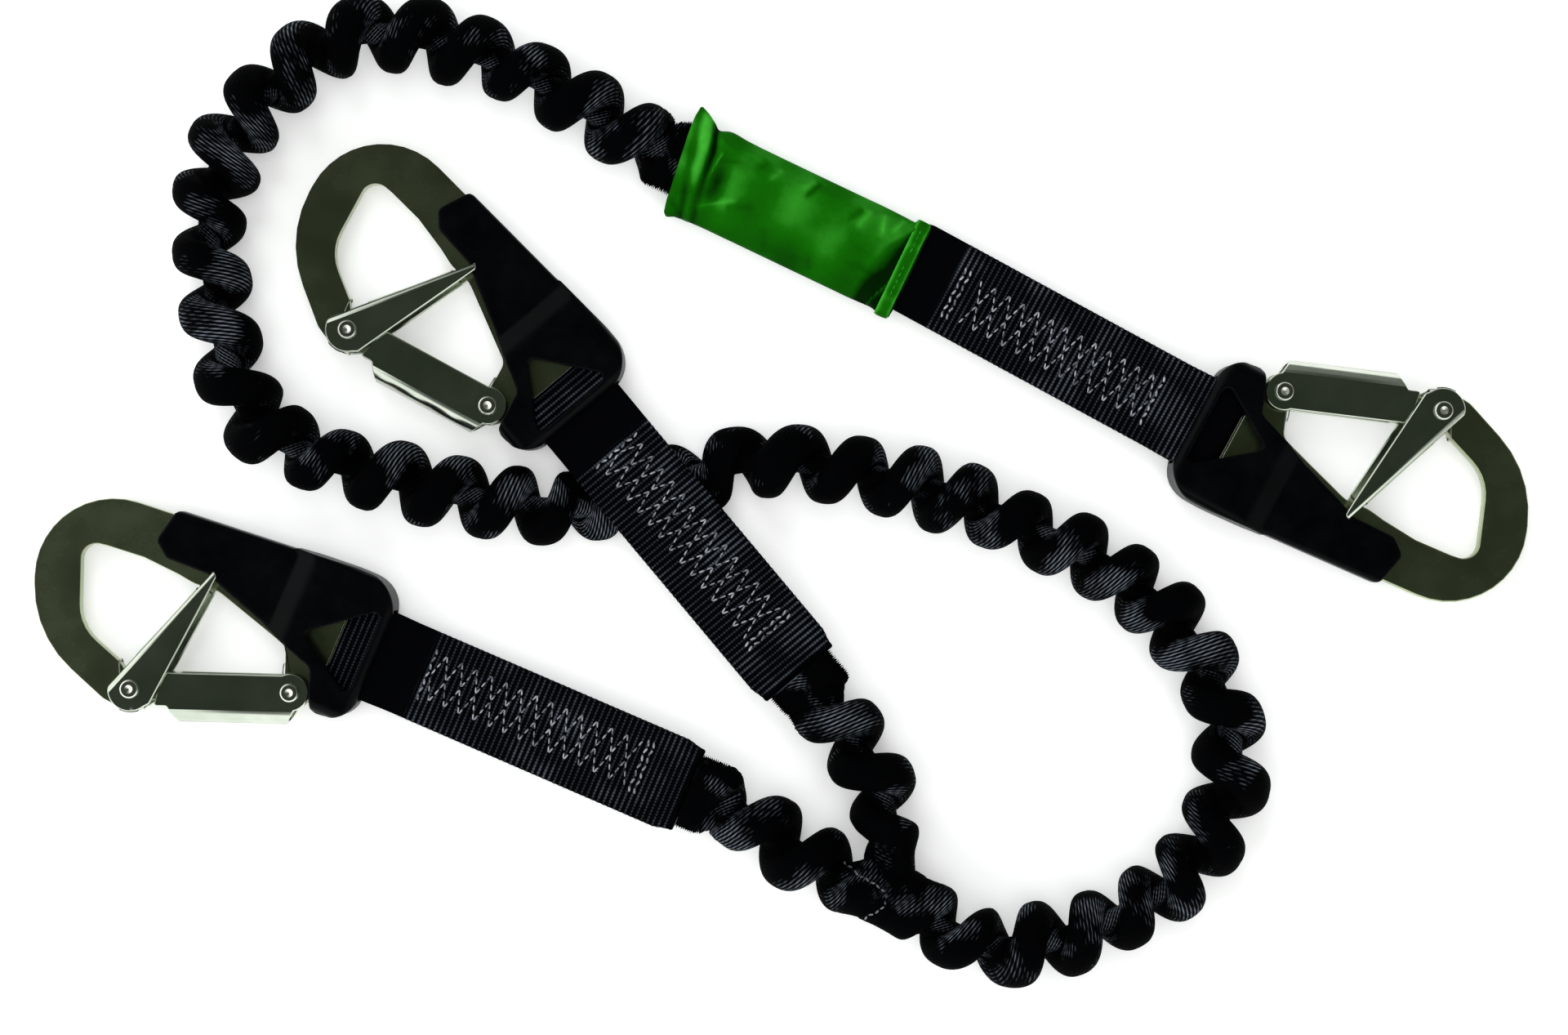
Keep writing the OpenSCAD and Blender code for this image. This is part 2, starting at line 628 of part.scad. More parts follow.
sleeve_sides = 6;
rings_per_curl = 8;
function sleeve_rings(route, curls, first, last) =
    let (n = curls * rings_per_curl, p = evenly(route, n), t = tangents(p), total = route_length(route))
    [for (i = [0:n])
        let (s = total * i / n, phase = 360 * curls * i / n,
             side = unit([t[i].y, -t[i].x, 0]), up = cross(side, t[i]),
             curl = smooth((min(s, total - s) - 2) / end_fade),
             plain = s < total / 2 ? first : last,
             off = norm([p[i].x, p[i].y] - crossing),
             press = mix(under_strap / crest_r, 1, smooth((off - flat_reach) / flat_fade)))
        [for (j = [0:sleeve_sides - 1])
            let (round = 360 * j / sleeve_sides, a = phase - round,
                 r = mix(oval(plain, a), crest(round), curl), q = r * [cos(a), press * sin(a)],
                 w = q * max(1, valley_r / norm(q)))
            on_floor(p[i] + w.x * side + w.y * up)]];

bore_clear = 0.3;
core_sides = 6;
main_core_rings = 84;
arm_core_rings = 10;
module sleeve(route, curls, first, last, rings) {
    color(webbing)
        hollow_skin(sleeve_rings(route, curls, first, last),
                    tube_rings(evenly(route, rings), core_d / 2 + bore_clear, core_sides));
}
module core(route, rings) {
    color(cream)
        closed_skin(tube_rings(evenly(route, rings), core_d / 2, core_sides));
}

// Junction: the three legs lapped and sewn, with a flat face square to each
junction_reach = 15;
leg_turns = [-30, 92, 157];
module leg_junction() {
    faces = [for (a = leg_turns, s = [-1, 1])
        (junction_reach - sewn_gap) * along(a) + s * junction_mouth.x * along(a + 90)];
    color(webbing)
        translate(junction_at)
            linear_extrude(2 * junction_mouth.y - 2, center = true)
                polygon(faces);
}

// Absorber: a cloth cover sewn shut on strap and sleeve, round a folded pack of tear webbing
pouch_at = [44.4, 71.2, pouch_z];
pouch_turn = 154.5;
pouch_sides = 20;
pouch_ends = [[strap_w / 2 + 1 + pouch_cloth, strap_t + 1 + pouch_cloth],
              [strap_mouth.x + 0.5 + pouch_cloth, strap_mouth.y + 0.5 + pouch_cloth]];
pouch_mid = [pouch_w / 2, pouch_t / 2];
pouch_stations = [[0, 0], [0.05, 0.12], [0.12, 0.75], [0.25, 1], [0.75, 1], [0.88, 0.8], [0.95, 0.3], [1, 0]];
// Squareness of the pouch's section at its sewn ends and at its middle
end_square = 6;
middle_square = 3;
function lozenge(m, n, a) =
    [m.x * sign(cos(a)) * pow(abs(cos(a)), 2 / n), m.y * sign(sin(a)) * pow(abs(sin(a)), 2 / n)];
function pouch_rings(inset) =
    [for (q = pouch_stations)
        let (end = pouch_ends[q.x < 0.5 ? 0 : 1], m = mix(end, pouch_mid, q.y) - [inset, inset],
             square = mix(end_square, middle_square, q.y))
        [for (j = [0:pouch_sides - 1])
            concat(q.x * pouch_len, lozenge(m, square, 360 * (j + 0.5) / pouch_sides))]];

module in_pouch() {
    translate(pouch_at) rotate([0, 0, pouch_turn]) children();
}
module absorber_cover() {
    color(green)
        in_pouch() hollow_skin(pouch_rings(0), pouch_rings(pouch_cloth));
}

tear_from = 8.7;
tear_lift = 2.7;
module tear_webbing() {
    far = pouch_len - 5.5;
    fold_r = tear_lift / 2;
    path = [[tear_from, 0, 0], [tear_from + 6, 0, 2], [tear_from + 12, -tear_lift, 2],
            [far - 12, -tear_lift, fold_r], [far - 12, 0, fold_r],
            [tear_from + 16, 0, fold_r], [tear_from + 16, tear_lift, fold_r],
            [far - 12, tear_lift, 2], [far - 6, 0, 2], [far, 0, 0]];
    color(cream)
        in_pouch()
            translate([0, (strap_w - 4) / 2, 0]) rotate([90, 0, 0])
                linear_extrude(strap_w - 4) polygon(rounded(ribbon(path, strap_t)));
}

// Least gap between stretches of the main leg that lie more than a curl apart
gap_steps = 160;
gap_points = evenly(main_route, gap_steps);
far_apart = ceil(gap_steps * 60 / route_length(main_route));
least_gap = min([for (i = [0:gap_steps], j = [i + far_apart:1:gap_steps])
    norm(gap_points[i] - gap_points[j]) - 2 * crest_r]);
echo(main_leg_length = route_length(main_route), arm_1_length = route_length(arm_1_route),
     arm_2_length = route_length(arm_2_route), least_gap_of_main_leg_to_itself = least_gap);

module hook_part(k, part) {
    place_hook(k) {
        if (part == "frame") hook_frame();
        if (part == "gate") hook_gate();
        if (part == "lever") hook_lever();
        if (part == "gate_rivet") translate([pin_span, 0, 0]) rivet(gate_out);
        if (part == "lever_rivet") rivet(lever_out);
        if (part == "lever_spacers") hook_lever_spacers();
        if (part == "gate_spring") hook_gate_spring();
        if (part == "lever_spring") hook_lever_spring();
        if (part == "cover") hook_cover();
        if (part == "strap") hook_strap(k);
    }
}

for (k = HOOKS, p = HOOK_PARTS)
    laid_out() hook_part(k, p);
laid_out() sleeve(main_route, main_curls, strap_mouth, junction_mouth, main_core_rings);  // main_leg_sleeve
laid_out() core(main_route, main_core_rings);  // main_leg_core
laid_out() sleeve(arm_1_route, arm_curls, strap_mouth, junction_mouth, arm_core_rings);  // arm_1_sleeve
laid_out() core(arm_1_route, arm_core_rings);  // arm_1_core
laid_out() sleeve(arm_2_route, arm_curls, strap_mouth, junction_mouth, arm_core_rings);  // arm_2_sleeve
laid_out() core(arm_2_route, arm_core_rings);  // arm_2_core
laid_out() leg_junction();
laid_out() absorber_cover();
laid_out() tear_webbing();
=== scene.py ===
import json
import math
from functools import partial

import bmesh
import bpy
import numpy as np
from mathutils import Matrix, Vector
from mathutils.bvhtree import BVHTree


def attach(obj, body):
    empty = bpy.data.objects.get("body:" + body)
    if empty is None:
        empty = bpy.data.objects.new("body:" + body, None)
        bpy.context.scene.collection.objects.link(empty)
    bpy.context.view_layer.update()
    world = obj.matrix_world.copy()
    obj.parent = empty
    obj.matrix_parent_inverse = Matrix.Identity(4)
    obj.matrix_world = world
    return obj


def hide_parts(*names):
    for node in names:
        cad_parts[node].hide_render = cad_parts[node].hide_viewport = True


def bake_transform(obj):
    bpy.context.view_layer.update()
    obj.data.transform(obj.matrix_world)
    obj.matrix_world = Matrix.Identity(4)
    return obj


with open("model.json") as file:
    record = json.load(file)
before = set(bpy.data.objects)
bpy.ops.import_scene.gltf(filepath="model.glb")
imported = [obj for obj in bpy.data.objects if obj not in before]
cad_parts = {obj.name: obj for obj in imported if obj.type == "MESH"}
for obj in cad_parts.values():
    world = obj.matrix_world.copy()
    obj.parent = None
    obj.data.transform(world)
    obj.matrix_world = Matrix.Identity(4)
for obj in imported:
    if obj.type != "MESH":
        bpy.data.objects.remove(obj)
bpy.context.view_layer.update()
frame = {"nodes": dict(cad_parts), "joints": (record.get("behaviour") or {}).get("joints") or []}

# A three-hook elastic safety tether on a white table, seen from straight above.
# The hooks keep their CAD shapes with softened edges; webbing, sleeves and the absorber are built here.
MM = 0.001
ROOT = "tether"
HOOKS = (1, 2, 3)
NODES = frame["nodes"]
PINS = {joint["name"]: Vector(joint["pos_m"]) for joint in frame["joints"]}

# Sizes shared with the part's source, in millimetres
EYE_ANGLE = math.radians(21.5)
EYE_OUT = 8
EYE_UP = 23.5
SLOT_W = 7
EYE_BAR_W = 6
PIN_SPAN = (PINS["hook_1_gate_hinge"] - PINS["hook_1_lever_hinge"]).length / MM
BAR_U = PIN_SPAN * math.cos(EYE_ANGLE) + EYE_OUT + SLOT_W
EYE_END = BAR_U + EYE_BAR_W
STRAP_V = PIN_SPAN * math.sin(EYE_ANGLE) + EYE_UP
STRAP_W = 33
STRAP_T = 1.8
STRAP_LEN = 122
STRAP_CLEAR = 0.3
END_CLEAR = 0.4
STRAP_END = EYE_END + STRAP_LEN - END_CLEAR
PLATE_HALF = 2
LOOP_HALF = PLATE_HALF + STRAP_CLEAR
HOOK_Z = 8
LEG_Z = 14
POUCH_Z = 8.7
LAYOUT_SHIFT = np.array([2.4, 2.2, 0])

# Height of each strap's tail above the plate's middle, at distances past the eye bar, and at its end
TAIL_RISE = {1: [(11, 1.4), (21, 5), (68, 5.2)], 2: [(12, 0.4), (60, 3)], 3: [(12, 0), (60, 0.2)]}
END_RISE = {1: LEG_Z - HOOK_Z, 2: LEG_Z - HOOK_Z, 3: POUCH_Z - HOOK_Z}


def raised(route):
    """Points of a route, at the legs' height where they have none."""
    return [(*point, LEG_Z)[:3] for point in route]


# Routes of the elastic legs: absorber to junction, on through it to strap 2, and strap 1 to the junction
MAIN_ROUTE = raised([
    (-34, 108, POUCH_Z), (-46, 113.7, POUCH_Z), (-58, 119.5, 12), (-86, 136), (-113, 147.5), (-137, 153),
    (-158, 151.5), (-175, 140), (-190, 125), (-200, 106), (-204, 86), (-202, 64), (-197, 38), (-188, 18),
    (-170, 6), (-146, -1.5), (-118, -8.5), (-92, -13, 12), (-71, -13, 5.5), (-48, -8.5, 5.5),
    (-25, 0.5, 5.5), (-4, 3, 12), (24, -1), (56, -9), (84, -20.5), (111, -33.5), (134, -52), (149, -74),
    (156, -98), (152, -122), (137, -144), (112, -159.5), (87, -167), (71, -168), (59.4, -163.5),
    (49, -157.5)])
ARM_1_ROUTE = raised([
    (4, -72), (15.6, -85.8), (27, -101.5), (33.5, -117), (35.2, -126), (35.5, -135)])
ARM_2_ROUTE = raised([
    (-35, -113), (-18.4, -120), (-4, -130), (11.2, -139.4), (22.2, -144.1)])
JUNCTION_AT = (36, -150, LEG_Z)
CROSSING = (-48, -8.5)

# Camera: its place in metres, its lens and its sensor in millimetres
CAMERA_AT = (0.0009, -0.0148, 0.81)
CAMERA_LENS = 51.92
SENSOR_WIDTH = 36


def add_camera():
    """Straight above the table, with the photograph's framing."""
    data = bpy.data.cameras.new("camera")
    data.sensor_width = SENSOR_WIDTH
    data.lens = CAMERA_LENS
    camera = new_object("camera", data)
    camera.location = CAMERA_AT
    bpy.context.scene.camera = camera


# Helpers for curves and meshes

# Half angle from which a corner counts as straight, and the points of a rounded one
NEARLY_STRAIGHT = math.radians(89.5)
ARC_POINTS = 9


def smooth(t):
    """A soft step from 0 to 1."""
    c = np.clip(t, 0, 1)
    return c * c * (3 - 2 * c)


def mix(a, b, t):
    return a + (b - a) * t


def running(points):
    """Distance along a line of points, at each point."""
    return np.concatenate([[0], np.cumsum(np.linalg.norm(np.diff(points, axis=0), axis=1))])


def resampled(points, count):
    s = running(points)
    at = np.linspace(0, s[-1], count)
    return np.stack([np.interp(at, s, column) for column in points.T], axis=1)


def smooth_route(route, steps=24):
    """Points of a smooth curve through a route's points."""
    p = np.array(route, float)
    p = np.concatenate([p[:1], p, p[-1:]])
    a, b, c, d = (p[i:len(p) - 3 + i, None] for i in range(4))
    t = np.linspace(0, 1, steps, endpoint=False)[None, :, None]
    curve = 0.5 * (2 * b + (c - a) * t + (2 * a - 5 * b + 4 * c - d) * t**2 + (3 * b - a - 3 * c + d) * t**3)
    return np.concatenate([curve.reshape(-1, 3), p[-1:]])


def route_length(route):
    return running(smooth_route(route))[-1]


def unit(v):
    return v / np.linalg.norm(v, axis=-1, keepdims=True)


def turned(points, angle):
    """Points turned about the vertical axis."""
    c, s = math.cos(angle), math.sin(angle)
    x, y, z = np.moveaxis(points, -1, 0)
    return np.stack([c * x - s * y, s * x + c * y, z], axis=-1)


def grid(rows, columns):
    """Pairs of a row's and a column's value, as a skin's uv places."""
    return np.stack(np.meshgrid(rows, columns, indexing="ij"), axis=-1)


def fillet(p, corner, q, r):
    """Points of the arc of radius r that rounds a corner in a plane."""
    a, b = unit(p - corner), unit(q - corner)
    half = math.acos(np.clip(a @ b, -1, 1)) / 2
    if half > NEARLY_STRAIGHT:
        return corner[None]
    centre = corner + unit(a + b) * r / math.sin(half)
    start, end = (corner + side * r / math.tan(half) - centre for side in (a, b))
    first = math.atan2(start[1], start[0])
    sweep = (math.atan2(end[1], end[0]) - first + math.pi) % (2 * math.pi) - math.pi
    angles = first + sweep * np.linspace(0, 1, ARC_POINTS)
    return centre + r * np.stack([np.cos(angles), np.sin(angles)], axis=1)


def rounded_loop(corners):
    """Points of a closed plane outline with (x, y, radius) corners."""
    p = np.array([c[:2] for c in corners], float)
    n = len(corners)
    return np.concatenate([fillet(p[i - 1], p[i], p[(i + 1) % n], corners[i][2]) for i in range(n)])


def dress(mesh, material):
    mesh.materials.clear()
    mesh.materials.append(material)


def new_object(name, data, material=None):
    obj = bpy.data.objects.new(name, data)
    bpy.context.scene.collection.objects.link(obj)
    if material:
        dress(data, material)
    return obj


def skin(name, rings, uv, material, closed=False):
    """Closed mesh through equal rings of points, in millimetres; uv has one more column than a ring."""
    n, k = rings.shape[:2]
    i, j = np.meshgrid(np.arange(n if closed else n - 1), np.arange(k), indexing="ij")
    steps = ((0, 0), (0, 1), (1, 1), (1, 0))
    faces = np.stack([(i + a) % n * k + (j + b) % k for a, b in steps], axis=-1).reshape(-1, 4).tolist()
    loops = np.stack([uv[i + a, j + b] for a, b in steps], axis=2).reshape(-1, 2)
    if not closed:
        faces += [list(range(k)), list(range((n - 1) * k, n * k))]
        loops = np.concatenate([loops, np.zeros((2 * k, 2))])
    mesh = bpy.data.meshes.new(name)
    mesh.from_pydata((rings.reshape(-1, 3) * MM).tolist(), [], faces)
    layer = mesh.uv_layers.new(name="weave")
    layer.data.foreach_set("uv", loops.ravel())
    outward(mesh)
    mesh.shade_smooth()
    return new_object(name, mesh, material)


def outward(mesh):
    """Turns all faces of a closed mesh outwards."""
    work = bmesh.new()
    work.from_mesh(mesh)
    bmesh.ops.recalc_face_normals(work, faces=work.faces)
    work.to_mesh(mesh)
    work.free()


def modify(obj, kind, **settings):
    """Adds a modifier to an object."""
    modifier = obj.modifiers.new(kind.lower(), kind)
    for name, value in settings.items():
        setattr(modifier, name, value)
    return modifier


def applied(obj):
    """The object with its modifiers made into its mesh."""
    depsgraph = bpy.context.evaluated_depsgraph_get()
    mesh = bpy.data.meshes.new_from_object(obj.evaluated_get(depsgraph), depsgraph=depsgraph)
    obj.modifiers.clear()
    obj.data = mesh
    return obj


def places(obj):
    """An object's vertices, in metres."""
    points = np.zeros(3 * len(obj.data.vertices))
    obj.data.vertices.foreach_get("co", points)
    return points.reshape(-1, 3)


def reshape(obj, lay):
    """Moves an object's vertices by a function of their places in millimetres."""
    obj.data.vertices.foreach_set("co", (lay(places(obj) / MM) * MM).ravel())
    obj.data.update()


def settle(obj, body, slot, *nodes):
    """The finished piece rides on a body and stands for CAD nodes, which it hides; its slot is not used."""
    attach(obj, body)
    if nodes:
        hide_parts(*nodes)
    return obj


# Materials

def add_node(tree, kind, **values):
    """A shader node; values name its properties in lower case or its inputs by their labels."""
    node = tree.nodes.new("ShaderNode" + kind)
    for name, value in values.items():
        if hasattr(node, name):
            setattr(node, name, value)
        else:
            node.inputs[name.replace("_", " ")].default_value = value
    return node


def feed(tree, node, values):
    """A node's first output, with its inputs in turn set to plain numbers or linked."""
    for socket, value in zip(node.inputs, values):
        if isinstance(value, (int, float)):
            socket.default_value = value
        else:
            tree.links.new(value, socket)
    return node.outputs[0]


def math_node(tree, operation, *values):
    return feed(tree, add_node(tree, "Math", operation=operation), values)


def half_wave(tree, angle):
    """A cosine wave from 0 to 1."""
    return math_node(tree, "MULTIPLY_ADD", math_node(tree, "COSINE", angle), 0.5, 0.5)


def components(tree, vector):
    node = add_node(tree, "SeparateXYZ")
    feed(tree, node, [vector])
    return node.outputs


def noise(tree, scale, **values):
    """A noise texture that stays on its object; its scale is a number or linked."""
    place = add_node(tree, "TexCoord").outputs["Object"]
    unused_w = 0.0
    return feed(tree, add_node(tree, "TexNoise", **values), (place, unused_w, scale))


def new_group(name, inputs, outputs):
    """A node group with inputs of given kinds, whose outputs are plain numbers."""
    tree = bpy.data.node_groups.new(name, "ShaderNodeTree")
    for label, kind in inputs.items():
        tree.interface.new_socket(label, in_out="INPUT", socket_type="NodeSocket" + kind)
    for label in outputs:
        tree.interface.new_socket(label, in_out="OUTPUT", socket_type="NodeSocketFloat")
    return tree, tree.nodes.new("NodeGroupInput").outputs, tree.nodes.new("NodeGroupOutput").inputs


# Relief of webbing beside its ribs of height 1, and how far its yarns break up the painted sheen on a rib
YARN_RELIEF = 0.35
FIBRE_RELIEF = 0.5
YARN_SHEEN_BREAK = 0.55


def weave_group():
    """Ribs and yarns of webbing: their height, and a painted sheen where they would catch light, stronger in
    patches.
    """
    tree, given, out = new_group("ribbed_weave", {"UV": "Vector", "Patchiness": "Float"}, ("Height", "Painted_sheen"))
    calc = partial(math_node, tree)
    u, v, _ = components(tree, given["UV"])
    ridge = half_wave(tree, calc("MULTIPLY", u, 2 * math.pi))
    rib = calc("FLOOR", calc("ADD", u, 0.5))
    yarn = half_wave(tree, calc("MULTIPLY_ADD", v, 2 * math.pi, calc("MULTIPLY", rib, math.pi)))
    fibres = noise(tree, 1400.0, Detail=3.0)
    patches = noise(tree, 65.0, Detail=2.0)
    lit = add_node(tree, "MapRange", From_Min=0.48, From_Max=0.68)
    tree.links.new(patches, lit.inputs["Value"])
    tree.links.new(calc("SUBTRACT", 1.0, given["Patchiness"]), lit.inputs["To Min"])
    height = calc("MULTIPLY_ADD", yarn, YARN_RELIEF, ridge)
    height = calc("MULTIPLY_ADD", fibres, FIBRE_RELIEF, height)
    parted = calc("MULTIPLY_ADD", yarn, YARN_SHEEN_BREAK, 1 - YARN_SHEEN_BREAK)
    painted_rib_sheen = calc("MULTIPLY", calc("POWER", ridge, 2.0), parted)
    painted_rib_sheen = calc("MULTIPLY", painted_rib_sheen, lit.outputs[0])
    painted_rib_sheen = calc("MULTIPLY", painted_rib_sheen, calc("ADD", fibres, 0.5))
    tree.links.new(height, out["Height"])
    tree.links.new(painted_rib_sheen, out["Painted_sheen"])
    return tree


def grain_group():
    """Handled surfaces: a fine grain and smudges 20 times as broad, both about 0.5 on average."""
    tree, given, out = new_group("handled_grain", {"Scale": "Float"}, ("Smudge", "Grain"))
    smudge = noise(tree, math_node(tree, "MULTIPLY", given["Scale"], 0.05), Detail=4.0, Roughness=0.6)
    grain = noise(tree, given["Scale"], Detail=2.0)
    tree.links.new(smudge, out["Smudge"])
    tree.links.new(grain, out["Grain"])
    return tree


WEAVE = weave_group()
GRAIN = grain_group()
# Depth of each finish's relief, in metres
WEAVE_BUMP = 0.00012
METAL_BUMP = 0.000005
NYLON_BUMP = 0.00003
CLOTH_BUMP = 0.00006
# Height of the cloth's crumples beside its threads, and what threads and smudges add to its tone
CRUMPLE = 10.0
THREAD_TONE = 0.06
SMUDGE_TONE = 0.24


def new_material(name, **sockets):
    material = bpy.data.materials.new(name)
    material.use_nodes = True
    shader = material.node_tree.nodes["Principled BSDF"]
    for label, value in sockets.items():
        shader.inputs[label.replace("_", " ")].default_value = value
    return material, material.node_tree, shader


def link_ramp(tree, factor, stops, target):
    """Colours along a 0 to 1 factor, to a shader's socket."""
    ramp = add_node(tree, "ValToRGB")
    elements = ramp.color_ramp.elements
    while len(elements) < len(stops):
        elements.new(0.5)
    for element, (at, colour) in zip(elements, stops):
        element.position = at
        element.color = (*colour, 1)
    tree.links.new(factor, ramp.inputs[0])
    tree.links.new(ramp.outputs[0], target)


def link_bump(tree, shader, height, distance, strength=1.0):
    bump = add_node(tree, "Bump", Distance=distance, Strength=strength)
    tree.links.new(height, bump.inputs["Height"])
    tree.links.new(bump.outputs[0], shader.inputs["Normal"])


def webbing_material(name, deep, ridge, patchiness):
    material, tree, shader = new_material(name, Roughness=0.7, Specular_IOR_Level=0.01)
    weave = add_node(tree, "Group", node_tree=WEAVE, Patchiness=patchiness)
    uv = add_node(tree, "UVMap", uv_map="weave")
    tree.links.new(uv.outputs[0], weave.inputs["UV"])
    # The ridge colour is a painted sheen on the ribs' tops, over the webbing's deep colour
    link_ramp(tree, weave.outputs["Painted_sheen"], [(0.13, deep), (0.88, ridge)], shader.inputs["Base Color"])
    link_bump(tree, shader, weave.outputs["Height"], WEAVE_BUMP)
    return material


def handled_material(name, scale, stops, rough=(), bump=0.0, **sockets):
    """A smudged surface: smudges change its colour and its roughness, from rough's low to its high value."""
    material, tree, shader = new_material(name, **sockets)
    grain = add_node(tree, "Group", node_tree=GRAIN, Scale=scale).outputs
    link_ramp(tree, grain["Smudge"], stops, shader.inputs["Base Color"])
    if rough:
        span = add_node(tree, "MapRange", To_Min=rough[0], To_Max=rough[1])
        tree.links.new(feed(tree, span, [grain["Smudge"]]), shader.inputs["Roughness"])
    if bump:
        link_bump(tree, shader, grain["Grain"], bump, 0.5)
    return material


def metal_material(name, dark, light, *rough):
    return handled_material(name, 900.0, [(0.35, dark), (0.65, light)], rough, METAL_BUMP, Metallic=1.0)


def thread_material(name, dark, light):
    stops = [(0.38, dark), (0.62, light)]
    return handled_material(name, 8000.0, stops, Roughness=0.6, Specular_IOR_Level=0.2)


def cloth_material(name, shadow, dark, light):
    """Close plain weave: crossing threads as a fine bump, with crumples, faded patches and painted shade in
    its folds.
    """
    material, tree, shader = new_material(name, Roughness=0.6, Specular_IOR_Level=0.01)
    calc = partial(math_node, tree)
    grain = add_node(tree, "Group", node_tree=GRAIN, Scale=1500.0).outputs
    crumple = noise(tree, 110.0, Detail=3.0, Distortion=1.2)
    u, v, _ = components(tree, add_node(tree, "UVMap", uv_map="weave").outputs[0])
    threads = [calc("SINE", calc("MULTIPLY", place, 2 * math.pi)) for place in (u, v)]
    weave = calc("MULTIPLY_ADD", calc("MULTIPLY", *threads), 0.5, 0.5)
    # The fold attribute holds painted shade in the folds and painted light on their ridges; its lowest tones
    # take the shadow colour
    fold = add_node(tree, "Attribute", attribute_name="fold").outputs["Fac"]
    tone = calc("MULTIPLY_ADD", weave, THREAD_TONE, fold)
    tone = calc("MULTIPLY_ADD", grain["Smudge"], SMUDGE_TONE, tone)
    link_ramp(tree, tone, [(0.2, shadow), (0.68, dark), (1.0, light)], shader.inputs["Base Color"])
    height = calc("ADD", weave, grain["Grain"])
    height = calc("MULTIPLY_ADD", crumple, CRUMPLE, height)
    link_bump(tree, shader, height, CLOTH_BUMP, 0.8)
    return material


STEEL = metal_material("plate_steel", (0.32, 0.37, 0.23), (0.42, 0.48, 0.31), 0.22, 0.32)
SHEET_STEEL = metal_material("sheet_steel", (0.54, 0.59, 0.50), (0.68, 0.72, 0.63), 0.15, 0.22)
BRIGHT_STEEL = metal_material("bright_steel", (0.68, 0.70, 0.64), (0.80, 0.81, 0.76), 0.14, 0.22)
WIRE = metal_material("wire", (0.45, 0.45, 0.42), (0.6, 0.6, 0.56), 0.25, 0.4)
NYLON_STOPS = [(0.35, (0.0005, 0.0006, 0.0009)), (0.7, (0.0014, 0.0016, 0.0022))]
BLACK_NYLON = handled_material("moulded_nylon", 2200.0, NYLON_STOPS, (0.28, 0.42), NYLON_BUMP,
                               Specular_IOR_Level=0.06)
# Each webbing's second colour is the painted sheen on its ribs
STRAP_BLACK = webbing_material("strap_webbing", (0.0009, 0.001, 0.0015), (0.07, 0.083, 0.105), 0.6)
SLEEVE_BLACK = webbing_material("sleeve_webbing", (0.0006, 0.0007, 0.001), (0.15, 0.172, 0.208), 0.95)
PALE_WEBBING = webbing_material("tear_webbing", (0.45, 0.42, 0.33), (0.8, 0.77, 0.66), 0.5)
GREEN_CLOTH = cloth_material("green_cloth", (0.0009, 0.013, 0.0004), (0.005, 0.115, 0.0012),
                             (0.042, 0.36, 0.026))
GREEN_THREAD = thread_material("green_thread", (0.003, 0.12, 0.003), (0.016, 0.32, 0.016))
PALE_THREAD = thread_material("pale_thread", (0.075, 0.082, 0.1), (0.38, 0.4, 0.44))
DIM_THREAD = thread_material("dim_thread", (0.011, 0.013, 0.017), (0.23, 0.23, 0.25))


# Elastic legs in their gathered sleeves

CREST_R = 13.6
CREST_SHARE = 0.6
CREST_SPREAD = math.radians(122)
CREST_SQUARE = 2.5
VALLEY_R = 3.6
FLOOR_GAP = 0.3
RIBS = 27
SIDES = 60
RING_STEP = 0.75
YARN = 1.15
CURL_PITCH = 20.9
END_HOLD = 6
END_FADE = 16
STRAP_MOUTH = (14, 4.2)
JUNCTION_MOUTH = (12, 8.5)
UNDER_STRAP = 5
FLAT_REACH = 21
FLAT_FADE = 22
# Slow waves along a sleeve, as (height, length, shift): in the turn of its curls and in their size
TURN_WAVES = ((0.45, 31, 0), (0.3, 17.3, 1))
SWELL_WAVES = ((0.045, 13.7, 0), (0.035, 7.9, 2))
# Where the sewn junction lies past the main leg's end, and how arm 1 ends in it
JUNCTION_PAST = 15
ARM_1_END = (35.8, -143, LEG_Z)
ARM_1_MOUTH = (9, 7)


def waves(s, terms):
    return sum(height * np.sin(s / length + shift) for height, length, shift in terms)


def crest(angle):
    """Reach of the gathered cloth at an angle from its crest."""
    d = np.minimum(1, np.abs(angle) / CREST_SPREAD)
    lobe = CREST_R * (1 - CREST_SHARE + CREST_SHARE * (1 - d**CREST_SQUARE) ** (1 / CREST_SQUARE))
    return np.where(d < 1, np.maximum(VALLEY_R, lobe), VALLEY_R)


def rib_angles():
    """Angles from the crest at which equal widths of cloth lie, so that its ribs are evenly wide."""
    angle = np.linspace(-math.pi, math.pi, 4001)
    cloth = running(np.stack([CURL_PITCH * angle / (2 * math.pi), crest(angle)], axis=1))
    return np.interp(np.linspace(0, cloth[-1], SIDES, endpoint=False), cloth, angle)


def oval(half, angle):
    """Reach of an oval with given half width and half height."""
    return 1 / np.hypot(np.cos(angle) / half[0], np.sin(angle) / half[1])


def route_frame(points):
    """Unit vectors to the right of a route and upwards from it, at each point."""
    along = unit(np.gradient(points, axis=0))
    side = unit(np.stack([along[:, 1], -along[:, 0], np.zeros(len(along))], axis=1))
    return side, np.cross(side, along)


